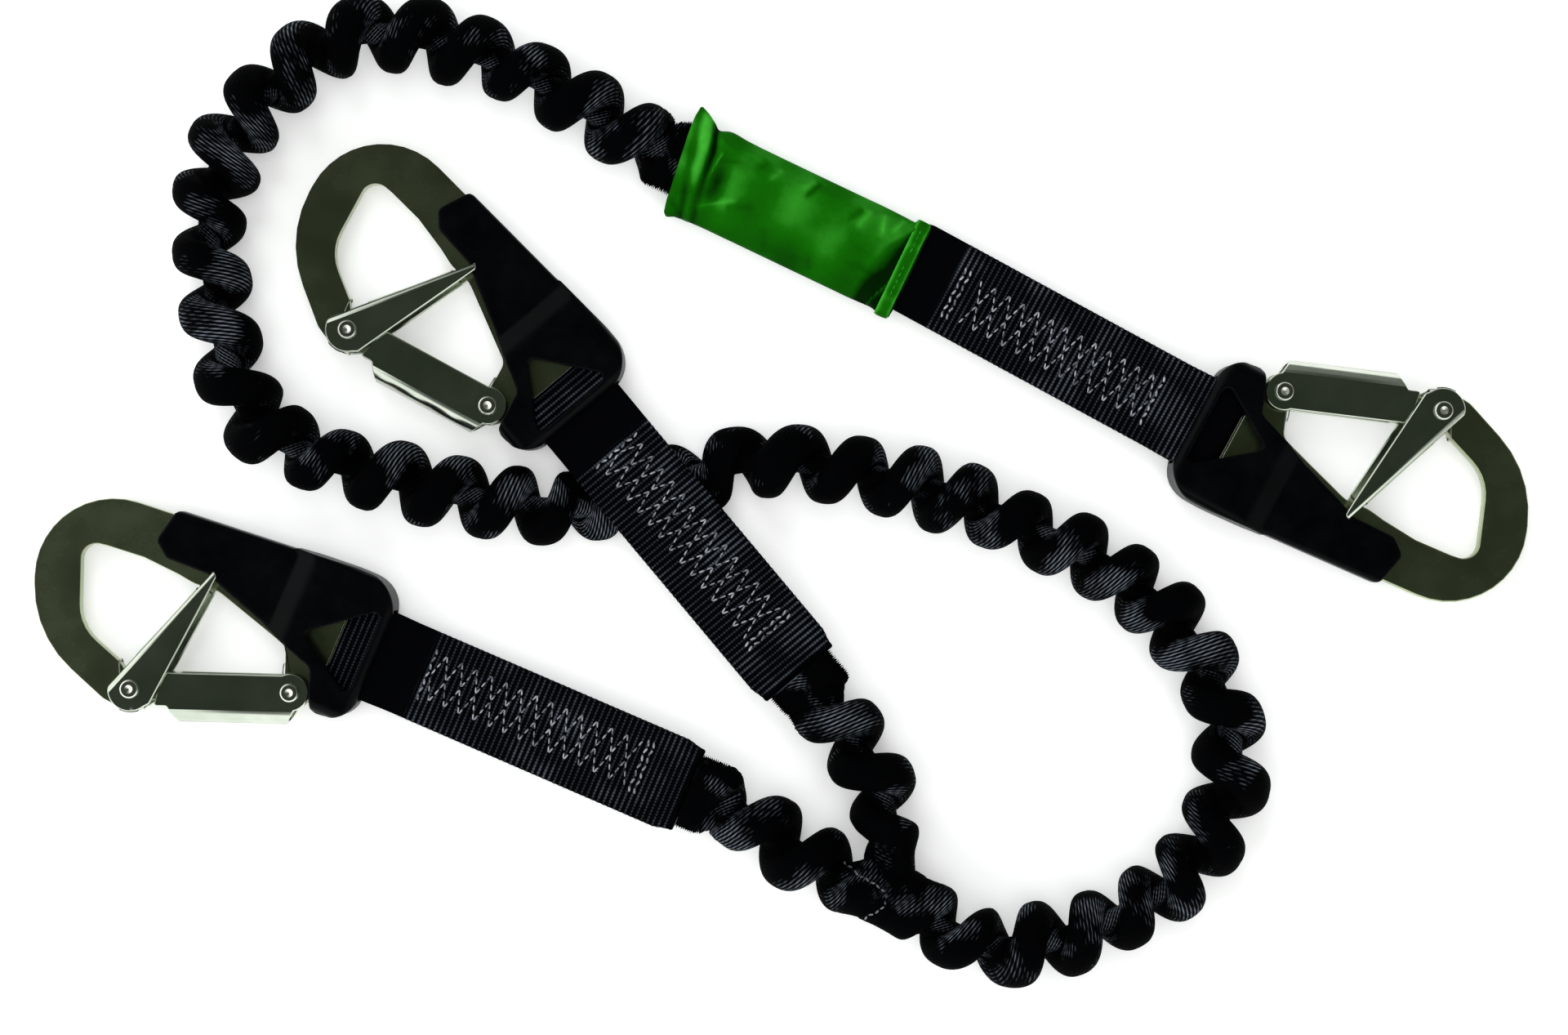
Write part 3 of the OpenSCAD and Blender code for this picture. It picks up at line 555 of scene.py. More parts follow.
def gathered_sleeve(name, route, flats, start_phase=0.0):
    """A sleeve wound in curls; flats are its sewn places, as (distance, (half width, half height))."""
    line = smooth_route(route)
    total = running(line)[-1]
    points = resampled(line, round(total / RING_STEP) + 1)
    s = np.linspace(0, total, len(points))
    side, up = route_frame(points)
    phase = start_phase + 2 * math.pi * s / CURL_PITCH + waves(s, TURN_WAVES)
    swell = 1 + waves(s, SWELL_WAVES)
    around = rib_angles()
    angle = phase[:, None] - around[None]
    reach = crest(around)[None] * swell[:, None]
    for at, half in flats:
        curl = smooth((np.abs(s - at) - END_HOLD) / END_FADE)[:, None]
        reach = mix(oval(half, angle), reach, curl)
    off = np.linalg.norm(points[:, :2] - np.array(CROSSING), axis=1)
    press = mix(UNDER_STRAP / CREST_R, 1, smooth((off - FLAT_REACH) / FLAT_FADE))[:, None]
    sideways, upwards = reach * np.cos(angle), press * reach * np.sin(angle)
    wider = np.maximum(1, VALLEY_R / np.hypot(sideways, upwards))
    rings = points[:, None] + (wider * sideways)[..., None] * side[:, None]
    rings += (wider * upwards)[..., None] * up[:, None]
    rings[..., 2] = np.maximum(FLOOR_GAP, rings[..., 2])
    uv = grid(s / YARN, np.arange(SIDES + 1) * RIBS / SIDES)[..., ::-1]
    obj = skin(name, rings + LAYOUT_SHIFT, uv, SLEEVE_BLACK)
    return obj, (points + LAYOUT_SHIFT) * MM, total * MM


def add_legs():
    """The main leg with the junction and arm 2 as one sleeve, and arm 1 as another."""
    through = MAIN_ROUTE + [JUNCTION_AT] + ARM_2_ROUTE[::-1]
    junction = route_length(MAIN_ROUTE) + JUNCTION_PAST
    flats = [(0, STRAP_MOUTH), (junction, JUNCTION_MOUTH), (route_length(through), STRAP_MOUTH)]
    leg, path, length = gathered_sleeve("main_leg_gathers", through, flats)
    settle(leg, ROOT, "gathered_sleeve", "main_leg_sleeve", "main_leg_core", "arm_2_sleeve", "arm_2_core",
           "leg_junction")
    into_junction = ARM_1_ROUTE + [ARM_1_END]
    flats = [(0, STRAP_MOUTH), (route_length(into_junction), ARM_1_MOUTH)]
    arm, _, _ = gathered_sleeve("arm_1_gathers", into_junction, flats, start_phase=1.0)
    settle(arm, ROOT, "gathered_sleeve", "arm_1_sleeve", "arm_1_core")
    return leg, arm


# Straps with their stitching

RIB_PITCH = 2.1
RIB_RINGS = 6
STRAP_RIB = 0.13
RIB_WIDENS = 0.004
LAYER_HALF = 0.86
SELVEDGE = 0.6
FLAT_POINTS = 19
# Distances past the eye bar on each strap: its smooth stretches, and the ends of its stitched block
SMOOTH = {1: [(0, 18.5)], 2: [(0, 19)], 3: [(-30, 0), (101, 122)]}
BLOCK = {1: (20.5, 103), 2: (21, 103.5), 3: (18, 97)}
LAP = 0.4
# The webbing's roll round the eye bar, which fills the frame's slot, and its other bends
ROLL_DEPTH = 5.9
ROLL_R = 3.1
EYE_R = 6
TAIL_R = 8
END_R = 0.85
# A strap narrows towards its sewn end by this share, from this far before it
END_NARROWS = 0.07
NARROW_FROM = 7
NARROW_FADE = 6


def on_strap(k, u, v, z):
    """Points given along, across and above a strap, in the frame."""
    lever = PINS[f"hook_{k}_lever_hinge"]
    pins = PINS[f"hook_{k}_gate_hinge"] - lever
    points = np.stack(np.broadcast_arrays(u, STRAP_V + v, z), axis=-1)
    return np.array(lever) / MM + turned(points, math.atan2(pins.y, pins.x) - EYE_ANGLE)


def strap_loop(k):
    """Middle line of the webbing as (along the strap, height) points: on top, round the bar and back."""
    half = STRAP_T / 2
    fold, level = BAR_U - ROLL_DEPTH, LOOP_HALF + half
    rise = [(EYE_END + d, z) for d, z in TAIL_RISE[k]]
    top = [(u, z + half, TAIL_R) for u, z in rise[::-1]]
    roll = [(EYE_END + 1, level, EYE_R), (fold, level, ROLL_R),
            (fold, -level, ROLL_R), (EYE_END + 1, -level, EYE_R)]
    low = [(u, z - half, TAIL_R) for u, z in rise]
    ends = [(STRAP_END - LAYER_HALF, END_RISE[k] + side, END_R) for side in (half, -half)]
    loop = rounded_loop(ends[:1] + top + roll + low + ends[1:])
    closed = np.concatenate([loop, loop[:1]])
    ribs = round(running(closed)[-1] / RIB_PITCH)
    return resampled(closed, RIB_RINGS * ribs + 1)


def top_height(k, u):
    """Height of the strap's upper face above the plate's middle."""
    loop = strap_loop(k)
    upper = loop[:int(np.argmin(loop[:, 0]))]
    order = np.argsort(upper[:, 0])
    return np.interp(u, upper[order, 0], upper[order, 1]) + LAYER_HALF


def strap_section():
    """Section of a webbing layer as (across, out) points, round at its selvedges."""
    flat = np.linspace(-1, 1, FLAT_POINTS) * (STRAP_W / 2 - SELVEDGE)
    turn = np.radians([60, 30, 0, -30, -60])
    bend = np.stack([STRAP_W / 2 - SELVEDGE + SELVEDGE * np.cos(turn), LAYER_HALF * np.sin(turn)], axis=1)
    top = np.stack([flat, np.full_like(flat, LAYER_HALF)], axis=1)
    return np.concatenate([top, bend, -top, -bend])


def lapped(k, u):
    """1 where the sewn-down layer lies on a strap, 0 on its smooth stretches."""
    past = u - EYE_END
    return 1.0 - np.any([(past > low) & (past < high) for low, high in SMOOTH[k]], axis=0)


def add_strap(k):
    """A strap's ribbed webbing, thicker where its end is sewn down on it."""
    line = strap_loop(k)[:-1]
    along = unit(np.roll(line, -1, axis=0) - np.roll(line, 1, axis=0))
    out = np.stack([along[:, 1], -along[:, 0]], axis=1)
    section = strap_section()
    s = np.arange(len(line)) / RIB_RINGS
    lap = lapped(k, line[:, 0])
    wave = (lap * np.cos(2 * math.pi * s))[:, None]
    flat = (np.abs(section[:, 1]) > 0.99 * LAYER_HALF)[None]
    outer = (section[:, 1] > 0)[None] * (LAP * lap * (line[:, 0] > EYE_END))[:, None]
    thick = section[None, :, 1] * (1 + flat * wave * STRAP_RIB / LAYER_HALF) + outer
    narrow = 1 - END_NARROWS * smooth((line[:, 0] - STRAP_END + NARROW_FROM) / NARROW_FADE)[:, None]
    wide = section[None, :, 0] * narrow * (1 + RIB_WIDENS * wave)
    u = line[:, 0, None] + out[:, 0, None] * thick
    z = line[:, 1, None] + out[:, 1, None] * thick
    rings = on_strap(k, u, wide, z)
    across = np.concatenate([section[:, 0], section[:1, 0]]) / YARN
    rib = np.append(np.where(lap > 0, s, 0.5), s[-1] + 1 / RIB_RINGS)
    strap = skin(f"hook_{k}_webbing", rings, grid(rib, across), STRAP_BLACK, closed=True)
    settle(strap, ROOT, "black_webbing", f"hook_{k}_strap")


# What the stitch nodes take, with the kinds of their sockets
STITCH_INPUTS = {"Rows": "Int", "Stitches": "Int", "Step": "Float", "Spacing": "Float", "Swing": "Float",
                 "Parts": "Int", "Thread": "Float", "Material": "Material"}
SINGLE_ROW = {"rows": 1, "spacing": 1.0, "parts": 1}
STITCH_WOBBLE = 0.12
STITCH_SIDES = 8
# A stitch's width and height in thread sizes, and its length as a share of its pitch
STITCH_SPREAD = 2.0
STITCH_RISE = 1.5
STITCH_SHARE = 0.72


def stitch_tree():
    """Geometry nodes for rows of slanted stitches on a flat cloth, in millimetres."""
    tree = bpy.data.node_groups.new("stitch_rows", "GeometryNodeTree")
    tree.interface.new_socket("Geometry", in_out="OUTPUT", socket_type="NodeSocketGeometry")
    for label, kind in STITCH_INPUTS.items():
        tree.interface.new_socket(label, in_out="INPUT", socket_type="NodeSocket" + kind)
    given = tree.nodes.new("NodeGroupInput").outputs
    calc = partial(math_node, tree)

    def built(kind, **inputs):
        made = tree.nodes.new("GeometryNode" + kind)
        for label, value in inputs.items():
            socket = made.inputs[label.replace("_", " ")]
            if isinstance(value, bpy.types.NodeSocket):
                tree.links.new(value, socket)
            else:
                socket.default_value = value
        return made.outputs[0]

    def whole(operation, *values):
        made = tree.nodes.new("FunctionNodeIntegerMath")
        made.operation = operation
        return feed(tree, made, values)

    def vector(*values):
        return feed(tree, add_node(tree, "CombineXYZ"), values)

    index = built("InputIndex")
    row = whole("DIVIDE_FLOOR", index, given["Stitches"])
    column = whole("MODULO", index, given["Stitches"])
    wobble = tree.nodes.new("FunctionNodeRandomValue")
    wobble.data_type = "FLOAT"
    wobble.inputs[2].default_value = -STITCH_WOBBLE
    wobble.inputs[3].default_value = STITCH_WOBBLE
    along = calc("ADD", calc("MULTIPLY", column, given["Step"]), wobble.outputs[1])
    place = vector(along, calc("MULTIPLY", row, given["Spacing"]))
    line = built("MeshLine", Count=whole("MULTIPLY", given["Rows"], given["Stitches"]))
    spread = built("SetPosition", Geometry=line, Position=place)
    sign = calc("MULTIPLY_ADD", whole("MODULO", column, 2), 2.0, -1.0)
    full = calc("MULTIPLY", given["Swing"], 2.0)
    turn = vector(0.0, 0.0, calc("MULTIPLY", calc("ARCTAN2", full, given["Step"]), sign))
    squares = [calc("MULTIPLY", side, side) for side in (full, given["Step"])]
    length = calc("SQRT", calc("ADD", *squares))
    thread = given["Thread"]
    size = vector(length, calc("MULTIPLY", thread, STITCH_SPREAD), calc("MULTIPLY", thread, STITCH_RISE))
    ball = built("MeshUVSphere", Segments=STITCH_SIDES, Rings=STITCH_SIDES, Radius=0.5)
    stitch = built("Transform", Geometry=ball, Rotation=(0, math.pi / 2, 0))
    pitch = calc("DIVIDE", 1.0, given["Parts"])
    first = vector(calc("MULTIPLY_ADD", pitch, 0.5, -0.5))
    leg = built("MeshLine", Count=given["Parts"], Start_Location=first, Offset=vector(pitch))
    short = vector(calc("MULTIPLY", pitch, STITCH_SHARE), 1.0, 1.0)
    dashes = built("InstanceOnPoints", Points=leg, Instance=stitch, Scale=short)
    dashed = built("RealizeInstances", Geometry=dashes)
    sewn = built("InstanceOnPoints", Points=spread, Instance=dashed, Rotation=turn, Scale=size)
    real = built("RealizeInstances", Geometry=sewn)
    shaded = built("SetMaterial", Geometry=real, Material=given["Material"])
    tree.links.new(shaded, tree.nodes.new("NodeGroupOutput").inputs[0])
    return tree


STITCHES = stitch_tree()


def stitched(name, material, lay, length, **sizes):
    """Stitch rows of a length, made flat and laid by a function of their (along, across, out) millimetres."""
    obj = new_object(name, bpy.data.meshes.new(name), material)
    modifier = modify(obj, "NODES", node_group=STITCHES)
    values = {**SINGLE_ROW, **sizes, "stitches": int(length / sizes["step"]), "material": material}
    for item in STITCHES.interface.items_tree:
        if item.in_out == "INPUT":
            modifier[item.identifier] = values[item.name.lower()]
    applied(obj)
    reshape(obj, lambda points: lay(*(points * MM).T))
    outward(obj.data)
    obj.data.shade_smooth()
    return obj


def joined(name, pieces):
    """One object from several."""
    with bpy.context.temp_override(active_object=pieces[0], selected_editable_objects=pieces):
        bpy.ops.object.join()
    pieces[0].name = name
    return pieces[0]


BLOCK_W = 17.6
BLOCK_SIDE = 1.3
STITCH_LIFT = 0.1
# Two zigzags lie side by side, each the other's mirror image
ZIGZAG_W = 8.6
ZIGZAG_FROM = 2.5
ZIGZAG_SPARE = 4
ZIGZAG = {"step": 2.9, "swing": ZIGZAG_W / 2, "parts": 3, "thread": 0.3}
TACK = {"step": 2.9, "swing": 0.5, "spacing": 2.0, "thread": 0.42}


def add_strap_stitches(k):
    """Two zigzags of short stitches between rows of thick ones, on a strap's sewn-down layer."""
    start, end = (EYE_END + d for d in BLOCK[k])

    def on_top(u, v, out):
        return on_strap(k, u, BLOCK_SIDE + v, top_height(k, u) + LAP * lapped(k, u) + STITCH_LIFT + out)

    def zigzag(side):
        return lambda x, y, z: on_top(start + ZIGZAG_FROM + x, side * ((BLOCK_W - ZIGZAG_W) / 2 - y), z)

    def across_at(u):
        return lambda x, y, z: on_top(u + y, x - BLOCK_W / 2, z)

    length = end - start - ZIGZAG_SPARE
    legs = [stitched(f"hook_{k}_zigzag", PALE_THREAD, zigzag(side), length, **ZIGZAG) for side in (-1, 1)]
    length = BLOCK_W + TACK["step"]
    tacks = [stitched(f"hook_{k}_tack", PALE_THREAD, across_at(u), length, rows=rows, **TACK)
             for u, rows in ((start, 1), (end - 1, 2))]
    settle(joined(f"hook_{k}_stitches", legs + tacks), ROOT, "pale_webbing")


# Seam that closes the junction, as seen from above
SEAM = [(22, -136), (27, -139), (32.5, -142.5), (36.5, -146), (35, -151), (30.5, -154), (27, -158)]
SEAM_STITCH = {"step": 2.3, "swing": 0.4, "thread": 0.36}
SEAM_LIFT = 0.15
# A height above all legs, and a short way on along the seam, which gives its direction
HIGH = 100
AHEAD = 0.5


def add_junction_seam(legs):
    """Single stitches along the seam, each lying on the leg beneath it."""
    line = smooth_route([(x, y, 0) for x, y in SEAM])
    reach = running(line)
    depsgraph = bpy.context.evaluated_depsgraph_get()
    trees = [BVHTree.FromObject(leg, depsgraph) for leg in legs]

    def height(point):
        hits = [tree.ray_cast(Vector((*point, HIGH)) * MM, Vector((0, 0, -1)))[0] for tree in trees]
        return max([hit.z / MM for hit in hits if hit], default=0)

    def lay(x, y, z):
        at = [np.interp(x, reach, line[:, axis]) for axis in (0, 1)]
        along = [np.interp(x + AHEAD, reach, line[:, axis]) - base for axis, base in enumerate(at)]
        size = np.hypot(*along) + 1e-9
        place = np.stack([at[0] - y * along[1] / size, at[1] + y * along[0] / size], axis=-1)
        up = np.array([height(point) for point in place])
        return np.concatenate([place, (up + SEAM_LIFT + z)[:, None]], axis=1)

    seam = stitched("junction_seam", DIM_THREAD, lay, reach[-1], **SEAM_STITCH)
    settle(seam, ROOT, "pale_webbing")


# Absorber: a padded cloth cover between strap 3 and the main leg

POUCH_AT = np.array([43.5, 69.4, POUCH_Z])
POUCH_TURN = math.radians(154.5)
POUCH_LEN = 90
POUCH_HALF = (18.4, 7.6)
POUCH_ENDS = ((17.7, 4), (18.9, 5.9))
POUCH_RINGS = 91
POUCH_SIDES = 84
POUCH_TAPER = 0.2
POUCH_SQUARE = (6, 2.5)
CLOTH_UV = (1.5, 2.0)
# Pleats beside its sewn ends: height, reach, and waves as (height, per mm across, per mm along, shift)
PLEAT_H = 0.5
PLEAT_REACH = 13
PLEATS = ((1, 0.55, 0.05, 0), (0.7, 0.93, -0.09, 1.3))
# The cloth that fills the cover out, the rings held at each end, its steps, and how far a point may move
CLOTH = {"quality": 6, "mass": 0.2, "use_pressure": True, "uniform_pressure_force": 1.2, "shrink_min": -0.07,
         "tension_stiffness": 20, "bending_stiffness": 0.08, "vertex_group_mass": "held"}
HELD_RINGS = 3
CLOTH_STEPS = 20
POUCH_CAP = 1.2


def in_pouch(points):
    """Points given along, across and above the pouch, in the frame."""
    return turned(points, POUCH_TURN) + POUCH_AT + LAYOUT_SHIFT


def from_pouch(points):
    return turned(points - POUCH_AT - LAYOUT_SHIFT, -POUCH_TURN)


def pouch_half(x):
    """Half width, half height and squareness of the pouch at a share of its length."""
    ends = np.where(x[:, None] < 0.5, *np.array(POUCH_ENDS)[:, None])
    full = smooth(np.minimum(x, 1 - x) / POUCH_TAPER)
    half = mix(ends, np.array(POUCH_HALF), full[:, None])
    return half[:, 0], half[:, 1], mix(*POUCH_SQUARE, full)


def pouch_rings(x, grow=0.0):
    """The cover's outline at shares of its length: places along, across and above the pouch."""
    wide, high, square = (h[:, None] for h in pouch_half(x))
    angle = (np.arange(POUCH_SIDES) + 0.5)[None] * 2 * math.pi / POUCH_SIDES
    y, z = ((half + grow) * np.sign(part) * np.abs(part) ** (2 / square)
            for half, part in ((wide, np.cos(angle)), (high, np.sin(angle))))
    return np.broadcast_to((x * POUCH_LEN)[:, None], y.shape), y, z


def pouch_rest():
    """The cover's rings with pleats at its ends, before it is filled out."""
    x = np.linspace(0, 1, POUCH_RINGS)
    along, y, z = pouch_rings(x)
    end = np.minimum(x, 1 - x)[:, None] * POUCH_LEN
    pleat = sum(h * np.sin(a * y + b * along + shift) for h, a, b, shift in PLEATS)
    pleat = np.exp(-end / PLEAT_REACH) * pleat * smooth((np.abs(z) - 1) / 3)
    return np.stack([along, y, z + np.sign(z) * PLEAT_H * pleat], axis=-1)


def billow(obj, pinned):
    """Cloth simulation with the ends held: the cover fills out and its slack cloth wrinkles."""
    rest = places(obj)
    obj.vertex_groups.new(name="held").add(pinned, 1.0, "REPLACE")
    cloth = modify(obj, "CLOTH")
    for name, value in CLOTH.items():
        setattr(cloth.settings, name, value)
    cloth.settings.effector_weights.gravity = 0
    cloth.collision_settings.use_collision = False
    cloth.point_cache.frame_end = CLOTH_STEPS
    scene = bpy.context.scene
    for step in range(CLOTH_STEPS):
        scene.frame_set(step + 1)
    applied(obj)
    scene.frame_set(1)
    moved = places(obj) - rest
    far = np.linalg.norm(moved, axis=1, keepdims=True)
    moved *= np.minimum(1, POUCH_CAP * MM / np.maximum(far, 1e-9))
    obj.data.vertices.foreach_set("co", (rest + moved).ravel())


# Lines of the cover's main folds, as (across, along) points: where it is gathered on the sleeve, and the
# two sides of the hollow by its hem
CINCH_LINE = ((-17, 83.6), (-7.5, 81.2), (1, 80.4), (12, 78.3), (18, 77.5))
HOLLOW_START = ((-15, 5), (-5, 12.8), (3, 15), (10, 16.8), (18, 16.6))
HOLLOW_FOLD = ((-15, 3), (3, 4.5), (17, 10))
# Short creases from one (along, across) point to another: their height and width
CREASES = (((41.4, -14.8), (45.6, -6), -1.0, 0.9), ((43.6, -15), (47.6, -8), 0.5, 1.2),
           ((24.2, -13), (28.6, -6), -0.8, 1.0), ((21.5, -14), (24.5, -4), 0.6, 1.6),
           ((55.9, -13.5), (59.6, -5.5), 0.6, 1.1), ((61.5, -14), (64.5, -7), -0.5, 1.3),
           ((17.2, -15), (14.4, -5), 0.8, 1.3), ((9.5, -16), (12.5, -8), 0.7, 0.9),
           ((77.8, -10), (79, 2), 0.9, 0.5), ((79, 12.5), (65, 3.4), 0.9, 1.3),
           ((69.5, 8), (58, 3), -0.5, 1.6), ((33, 16), (36, 8), -0.5, 1.4), ((50, 17), (54, 7), -0.4, 1.8))
# Folds as (height, place, width): two on the gathered end and one at its line, by the distance past the line,
# and the dip beside it, by the distance along
FLAP_ROLL = (0.9, 3, 1.5)
FLAP_DIP = (-0.6, 5.6, 1.2)
CINCH = (-2.2, 0, 1.2)
SIDE_DIP = (-1.7, 75.5, 3)
HOLLOW_DEPTH = 2.4
LIP_H = 1.3
LIP_W = 0.7
RIPPLE_H = 0.2
# Broad waves of slack cloth: their height, and two that are multiplied, as (per mm along, across, shift)
SLACK_H = 0.35
SLACK = ((0.24, 0.05, 0), (0.07, -0.11, 0.6))
# How the gathered end is slanted, drawn in at its line and flared past it
FREE_SLANT = 0.13
DRAWN_IN = 1.6
FLARED = 2.8
# The cloth's tone on the flat, and its painted light and shade: what a millimetre of fold changes in it, and
# how much darker the side away from the key lamp is painted
FLAT_TONE = 0.57
FOLD_LIGHT_AND_SHADE = 0.3
AWAY_SIDE_SHADE = 0.2


def ridge(d, width):
    return np.exp(-((d / width) ** 2))


def bulge(d, shape):
    height, at, width = shape
    return height * ridge(d - at, width)


def line_at(line, y):
    across, along = np.array(line).T
    return np.interp(y, across, along)


def streak(x, y, start, end, width):
    """1 along a crease from start to end, falling off sharply beside it and slowly at its ends."""
    run = np.subtract(end, start)
    length = np.hypot(*run)
    along = ((x - start[0]) * run[0] + (y - start[1]) * run[1]) / length
    beside = ((x - start[0]) * run[1] - (y - start[1]) * run[0]) / length
    return np.exp(-np.abs(beside) / width) * smooth(along / 2) * smooth((length - along) / 4)


def folds(x, y):
    """Height of the folds at a place on the pouch."""
    flap = x - line_at(CINCH_LINE, y)
    upper = smooth((12 - y) / 22)
    gathers = bulge(flap, FLAP_ROLL) * mix(0.5, 1, upper) + bulge(flap, FLAP_DIP)
    gathers = smooth(flap / 1.5) * (gathers + RIPPLE_H * np.sin(y / 2.1 + 1))
    cinch = bulge(flap, CINCH) * mix(0.25, 1, upper)
    beside = bulge(x + 0.1 * y, SIDE_DIP) * ridge(y - 1, 8)
    start, fold = line_at(HOLLOW_START, y), line_at(HOLLOW_FOLD, y)
    within = smooth((y + 16) / 4)
    deep = -HOLLOW_DEPTH * smooth(1.25 * (start - x) / (start - fold)) * (x > fold)
    lip = LIP_H * (smooth((y - 1) / 3) * np.exp(-np.abs(x - fold) / LIP_W) - (x <= fold))
    creases = sum(height * streak(x, y, a, b, width) for a, b, height, width in CREASES)
    slack = SLACK_H * np.prod([np.sin(a * x + b * y + shift) for a, b, shift in SLACK], axis=0)
    return gathers + cinch + beside + within * (deep + lip) + creases + slack


def crease(points):
    """The folds of the sewn ends, pressed into the filled-out cover, and its slanting edge on the sleeve."""
    x, y, z = from_pouch(points).T
    flap = x - line_at(CINCH_LINE, y)
    z = z + np.sign(z) * smooth((np.abs(z) - 0.5) / 2.5) * folds(x, y)
    x = x + smooth(flap / 3) * (1 - FREE_SLANT * y) * smooth(flap / 8)
    upper = smooth((-y - 9) / 8)
    y = y + upper * (DRAWN_IN * ridge(flap + 1, 2.5) - FLARED * smooth((flap - 1) / 6))
    laid = in_pouch(np.stack([x, y, z], axis=-1))
    laid[:, 2] = np.maximum(FLOOR_GAP, laid[:, 2])
    return laid


def set_painted_light(obj, values):
    """Keeps a tone of painted light and shade with a mesh, for the cloth's colour to be painted darker in its
    folds.
    """
    layer = obj.data.attributes.new("fold", "FLOAT", "POINT")
    layer.data.foreach_set("value", values)


def paint_fold_light_and_shade(obj):
    x, y, _ = from_pouch(places(obj) / MM).T
    # Painted shade in the folds and painted light on their ridges, and painted shade on the side away from
    # the key lamp
    tone = FLAT_TONE + FOLD_LIGHT_AND_SHADE * folds(x, y) - AWAY_SIDE_SHADE * smooth((y - 1) / 15)
    set_painted_light(obj, np.clip(tone, 0, 1))


TEAR_FROM = 8.7
TEAR_TO = POUCH_LEN - 5.5
TEAR_LIFT = 2.7
TEAR_STEP = 0.35
TEAR_NARROWER = 4


def add_tear_webbing():
    """The webbing folded inside the absorber, which tears open under load."""
    near, far, lift, r = TEAR_FROM, TEAR_TO, TEAR_LIFT, TEAR_LIFT / 2
    corners = [(near, 0, 0), (near + 6, 0, 2), (near + 12, -lift, 2), (far - 12, -lift, r), (far - 12, 0, r),
               (near + 16, 0, r), (near + 16, lift, r), (far - 12, lift, 2), (far - 6, 0, 2), (far, 0, 0)]
    p = np.array([c[:2] for c in corners], float)
    bends = [fillet(p[i - 1], p[i], p[i + 1], 0.99 * corners[i][2]) for i in range(1, len(p) - 1)]
    line = np.concatenate([p[:1], *bends, p[-1:]])
    line = resampled(line, round(running(line)[-1] / TEAR_STEP) + 1)
    along = unit(np.gradient(line, axis=0))
    section = strap_section()
    across, out = section[:, 0] * (STRAP_W - TEAR_NARROWER) / STRAP_W, section[:, 1]
    x = line[:, :1] - along[:, 1:] * out
    z = line[:, 1:] + along[:, :1] * out
    rings = in_pouch(np.stack([x, np.broadcast_to(across, x.shape), z], axis=-1))
    uv = grid(np.arange(len(line)) * TEAR_STEP / RIB_PITCH, np.append(across, across[0]) / YARN)
    settle(skin("tear_webbing_fold", rings, uv, PALE_WEBBING), ROOT, "pale_webbing", "tear_webbing")


def cloth_uv(rings, step):
    return grid(np.arange(rings) * step, np.arange(POUCH_SIDES + 1) * CLOTH_UV[1])


def add_pouch():
    uv = cloth_uv(POUCH_RINGS, CLOTH_UV[0])
    pouch = skin("absorber_cloth", in_pouch(pouch_rest()), uv, GREEN_CLOTH)
    rings = np.repeat(np.arange(POUCH_RINGS), POUCH_SIDES)
    held = (rings < HELD_RINGS) | (rings >= POUCH_RINGS - HELD_RINGS)
    billow(pouch, np.flatnonzero(held).tolist())
    modify(pouch, "SUBSURF", levels=1)
    applied(pouch)
    paint_fold_light_and_shade(pouch)
    reshape(pouch, crease)
    settle(pouch, ROOT, "green_cloth", "absorber_cover")
    add_hem()


# The hem: where it starts, as a share of the pouch's length, its width, and the tone of its rings, which
# paints highlights on its rolled edges
HEM_AT = 0.01
HEM_WIDTH = 5
HEM_PAINTED_LIGHT = (0.85, 0.6, 0.5, 0.48, 0.48, 0.5, 0.55, 0.7, 0.9)
HEM_RINGS = len(HEM_PAINTED_LIGHT)
HEM_UV = 1.2
HEM_PROUD = 0.25
HEM_CROWN = 0.3
HEM_STITCH = {"step": 2.4, "swing": 0.1, "thread": 0.22}


def hem_wave(y):
    return 0.3 * np.sin(0.6 * y + 3 * HEM_AT)


def add_hem():
    """Turned band of cloth round the strap's end of the pouch, with a row of stitches on its upper side."""
    share = np.linspace(0, 1, HEM_RINGS)
    x = HEM_AT + share * HEM_WIDTH / POUCH_LEN
    crown = HEM_PROUD + HEM_CROWN * np.sin(share * math.pi)[:, None].clip(0) ** 0.6
    along, y, z = pouch_rings(x, crown)
    rings = np.stack([along, y, z + hem_wave(y) * np.sign(z)], axis=-1)
    hem = skin("absorber_hem", in_pouch(rings), cloth_uv(HEM_RINGS, HEM_UV), GREEN_CLOTH)
    # Painted highlights on the hem's edges, with its tone varying around it
    hem_highlights_and_tone = np.array(HEM_PAINTED_LIGHT)[:, None] + 0.07 * np.sin(0.9 * y) * np.sin(0.37 * y + 1)
    set_painted_light(hem, hem_highlights_and_tone.ravel())
    settle(hem, ROOT, "green_cloth")
    half_wide, half_high, square = (float(h[HEM_RINGS // 2]) for h in pouch_half(x))
    proud = HEM_PROUD + HEM_CROWN

    def lay(s, t, out):
        across = s - 0.8 * half_wide
        off = np.clip(np.abs(across) / (half_wide + proud), 0, 1) ** square
        top = (half_high + proud) * (1 - off) ** (1 / square) + hem_wave(across)
        return in_pouch(np.stack([HEM_AT * POUCH_LEN + HEM_WIDTH / 2 + t, across, top + out], axis=-1))

    seam = stitched("absorber_hem_seam", GREEN_THREAD, lay, 1.6 * half_wide, **HEM_STITCH)
    settle(seam, ROOT, "green_cloth")


# Hooks

# Faces with more sides than this are the flats of plates and sheets
FLAT_SIDES = 8
# Faces that meet at less than the first angle become one, and edges sharper than the second are rounded
FLAT_ANGLE = math.radians(0.5)
EDGE_ANGLE = math.radians(35)
PLATE_EDGE = 0.45
SHEET_EDGE = 0.42
# How near each other points are when they are taken for one
SAME_POINT = 0.001
SAME_ON_SHEET = 0.05


def merged(node, distance, flats=False):
    """Copy of a CAD node's mesh with its double points taken out and, if asked, each flat made one face."""
    mesh = NODES[node].data.copy()
    work = bmesh.new()
    work.from_mesh(mesh)
    bmesh.ops.remove_doubles(work, verts=work.verts, dist=distance * MM)
    if flats:
        bmesh.ops.dissolve_limit(work, angle_limit=FLAT_ANGLE, verts=work.verts, edges=work.edges)
    work.to_mesh(mesh)
    work.free()
    return mesh


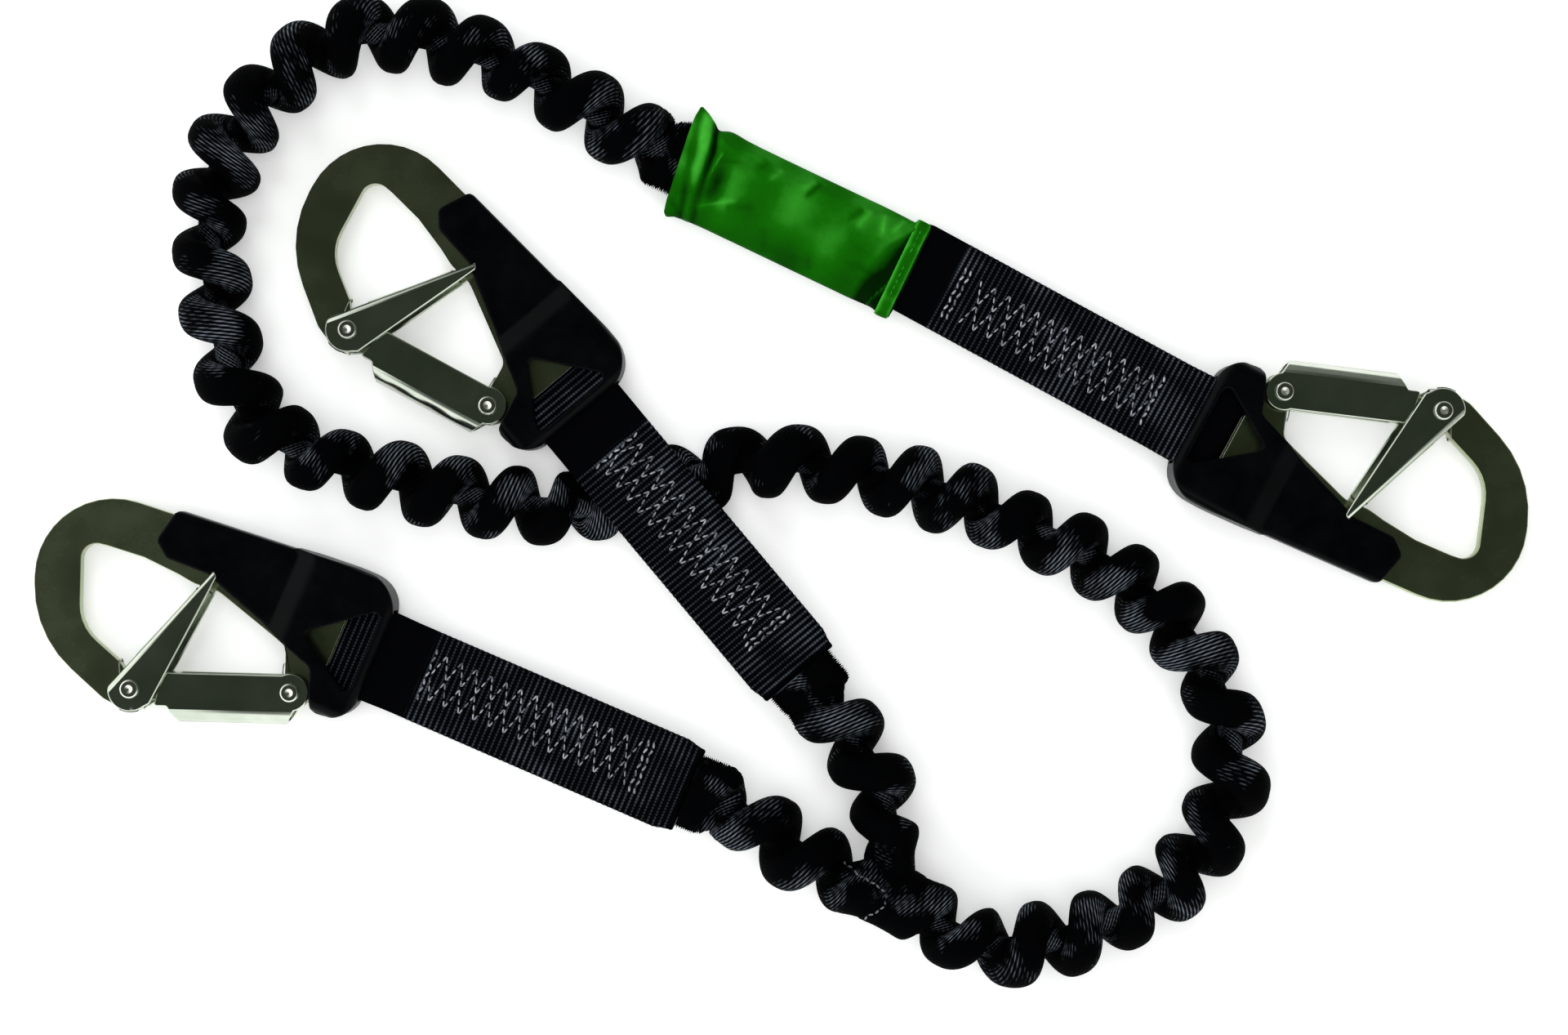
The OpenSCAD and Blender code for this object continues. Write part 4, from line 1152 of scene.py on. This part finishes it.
def softened(node, name, width, material, distance, limited):
    """Copy of a CAD node with rounded edges, by less where limited to what its short edges allow."""
    obj = new_object(name, merged(node, distance, flats=True), material)
    modify(obj, "BEVEL", width=width * MM, segments=2, use_clamp_overlap=limited, limit_method="ANGLE",
           angle_limit=EDGE_ANGLE)
    applied(obj)
    rounds = [len(face.vertices) <= FLAT_SIDES for face in obj.data.polygons]
    obj.data.polygons.foreach_set("use_smooth", rounds)
    return obj


def add_spring(k, part):
    """A torsion spring's wire, which in the real hook winds up as its gate or lever opens; here it keeps its
    shape.
    """
    node = f"hook_{k}_{part}_spring"
    wire = new_object(f"hook_{k}_{part}_coil", merged(node, SAME_POINT), WIRE)
    modify(wire, "SUBSURF", levels=1)
    applied(wire).data.shade_smooth()
    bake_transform(wire)
    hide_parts(node)


COVER_VOXEL = 0.55


def add_cover(k):
    """The moulded cover with melted edges, as moulding leaves them."""
    mesh = NODES[f"hook_{k}_cover"].data.copy()
    cover = new_object(f"hook_{k}_moulding", mesh, BLACK_NYLON)
    modify(cover, "REMESH", mode="VOXEL", voxel_size=COVER_VOXEL * MM)
    modify(cover, "SMOOTH", factor=0.5, iterations=5)
    applied(cover).data.shade_smooth()
    settle(cover, ROOT, "black_nylon", f"hook_{k}_cover")


def add_hook(k):
    frame_node = f"hook_{k}_frame"
    plate = softened(frame_node, f"hook_{k}_plate", PLATE_EDGE, STEEL, SAME_POINT, limited=True)
    settle(plate, ROOT, "steel_plate", frame_node)
    for part in ("gate", "lever"):
        node = f"hook_{k}_{part}"
        sheet = softened(node, f"{node}_sheet", SHEET_EDGE, SHEET_STEEL, SAME_ON_SHEET, limited=False)
        settle(sheet, node, "folded_steel", node)
        add_spring(k, part)
    for part in ("gate_rivet", "lever_rivet", "lever_spacers"):
        dress(NODES[f"hook_{k}_{part}"].data, BRIGHT_STEEL)
    add_cover(k)
    add_strap(k)
    add_strap_stitches(k)


# Table and light

FLOOR_GLOW = 0.25
FLOOR_HALF = 4
# Share of the room's light from its sides: its slope towards the left and front, its middle and its least
SIDE_SLOPE = -0.8
SIDE_MIDDLE = 0.75
SIDE_LEAST = 0.1
# Place, size, power and colour of each lamp
LAMPS = {"top": ((0, 0, 1.5), 1.6, 10.4, (1, 1, 1)),
         "key": ((-0.3, 1.1, 1.1), 0.9, 7.2, (0.97, 0.99, 1)),
         "fill": ((-1.1, -0.2, 1.1), 1.3, 2.4, (0.97, 0.99, 1)),
         "front": ((0.9, -0.8, 1.1), 1.3, 1.6, (1, 0.99, 0.97))}


def add_floor():
    """White table, with a faint glow that only camera and mirrors see, to stay white round its shadows."""
    material, tree, shader = new_material("table", Base_Color=(0.97, 0.97, 0.97, 1), Roughness=0.9,
                                          Specular_IOR_Level=0.2, Emission_Color=(1, 1, 1, 1))
    ray = add_node(tree, "LightPath").outputs
    seen = math_node(tree, "ADD", ray["Is Camera Ray"], ray["Is Glossy Ray"])
    tree.links.new(math_node(tree, "MULTIPLY", seen, FLOOR_GLOW), shader.inputs["Emission Strength"])
    mesh = bpy.data.meshes.new("table")
    corners = [(x * FLOOR_HALF, y * FLOOR_HALF, 0) for x, y in ((-1, -1), (1, -1), (1, 1), (-1, 1))]
    mesh.from_pydata(corners, [], [(0, 1, 2, 3)])
    new_object("table", mesh, material)


def add_lamp(name, place, size, power, colour):
    """A large soft lamp aimed at the middle of the table; steel doesn't mirror it."""
    data = bpy.data.lights.new(name, "AREA")
    data.shape = "DISK"
    data.size = size
    data.energy = power
    data.color = colour
    lamp = new_object(name, data)
    lamp.location = place
    lamp.rotation_euler = (-Vector(place)).to_track_quat("-Z", "Y").to_euler()
    lamp.visible_glossy = False


def add_light():
    """A room that is bright to the left and in front and dark overhead, and the lamps."""
    world = bpy.data.worlds.new("studio")
    bpy.context.scene.world = world
    world.use_nodes = True
    tree = world.node_tree
    calc = partial(math_node, tree)
    x, y, z = components(tree, add_node(tree, "TexCoord").outputs["Generated"])
    sideways = calc("MULTIPLY_ADD", calc("ADD", x, y), SIDE_SLOPE, SIDE_MIDDLE)
    overhead = add_node(tree, "MapRange", interpolation_type="SMOOTHSTEP", From_Min=0.88, From_Max=0.58)
    glow = calc("MULTIPLY", calc("MAXIMUM", sideways, SIDE_LEAST), feed(tree, overhead, [z]))
    link_ramp(tree, glow, [(0.0, (0.03, 0.038, 0.026)), (0.8, (1.35, 1.38, 1.36))],
              tree.nodes["Background"].inputs["Color"])
    for name, values in LAMPS.items():
        add_lamp(name, *values)


add_camera()
add_junction_seam(add_legs())
for hook in HOOKS:
    add_hook(hook)
add_pouch()
add_tear_webbing()
add_floor()
add_light()
bpy.context.scene.view_settings.view_transform = "Standard"
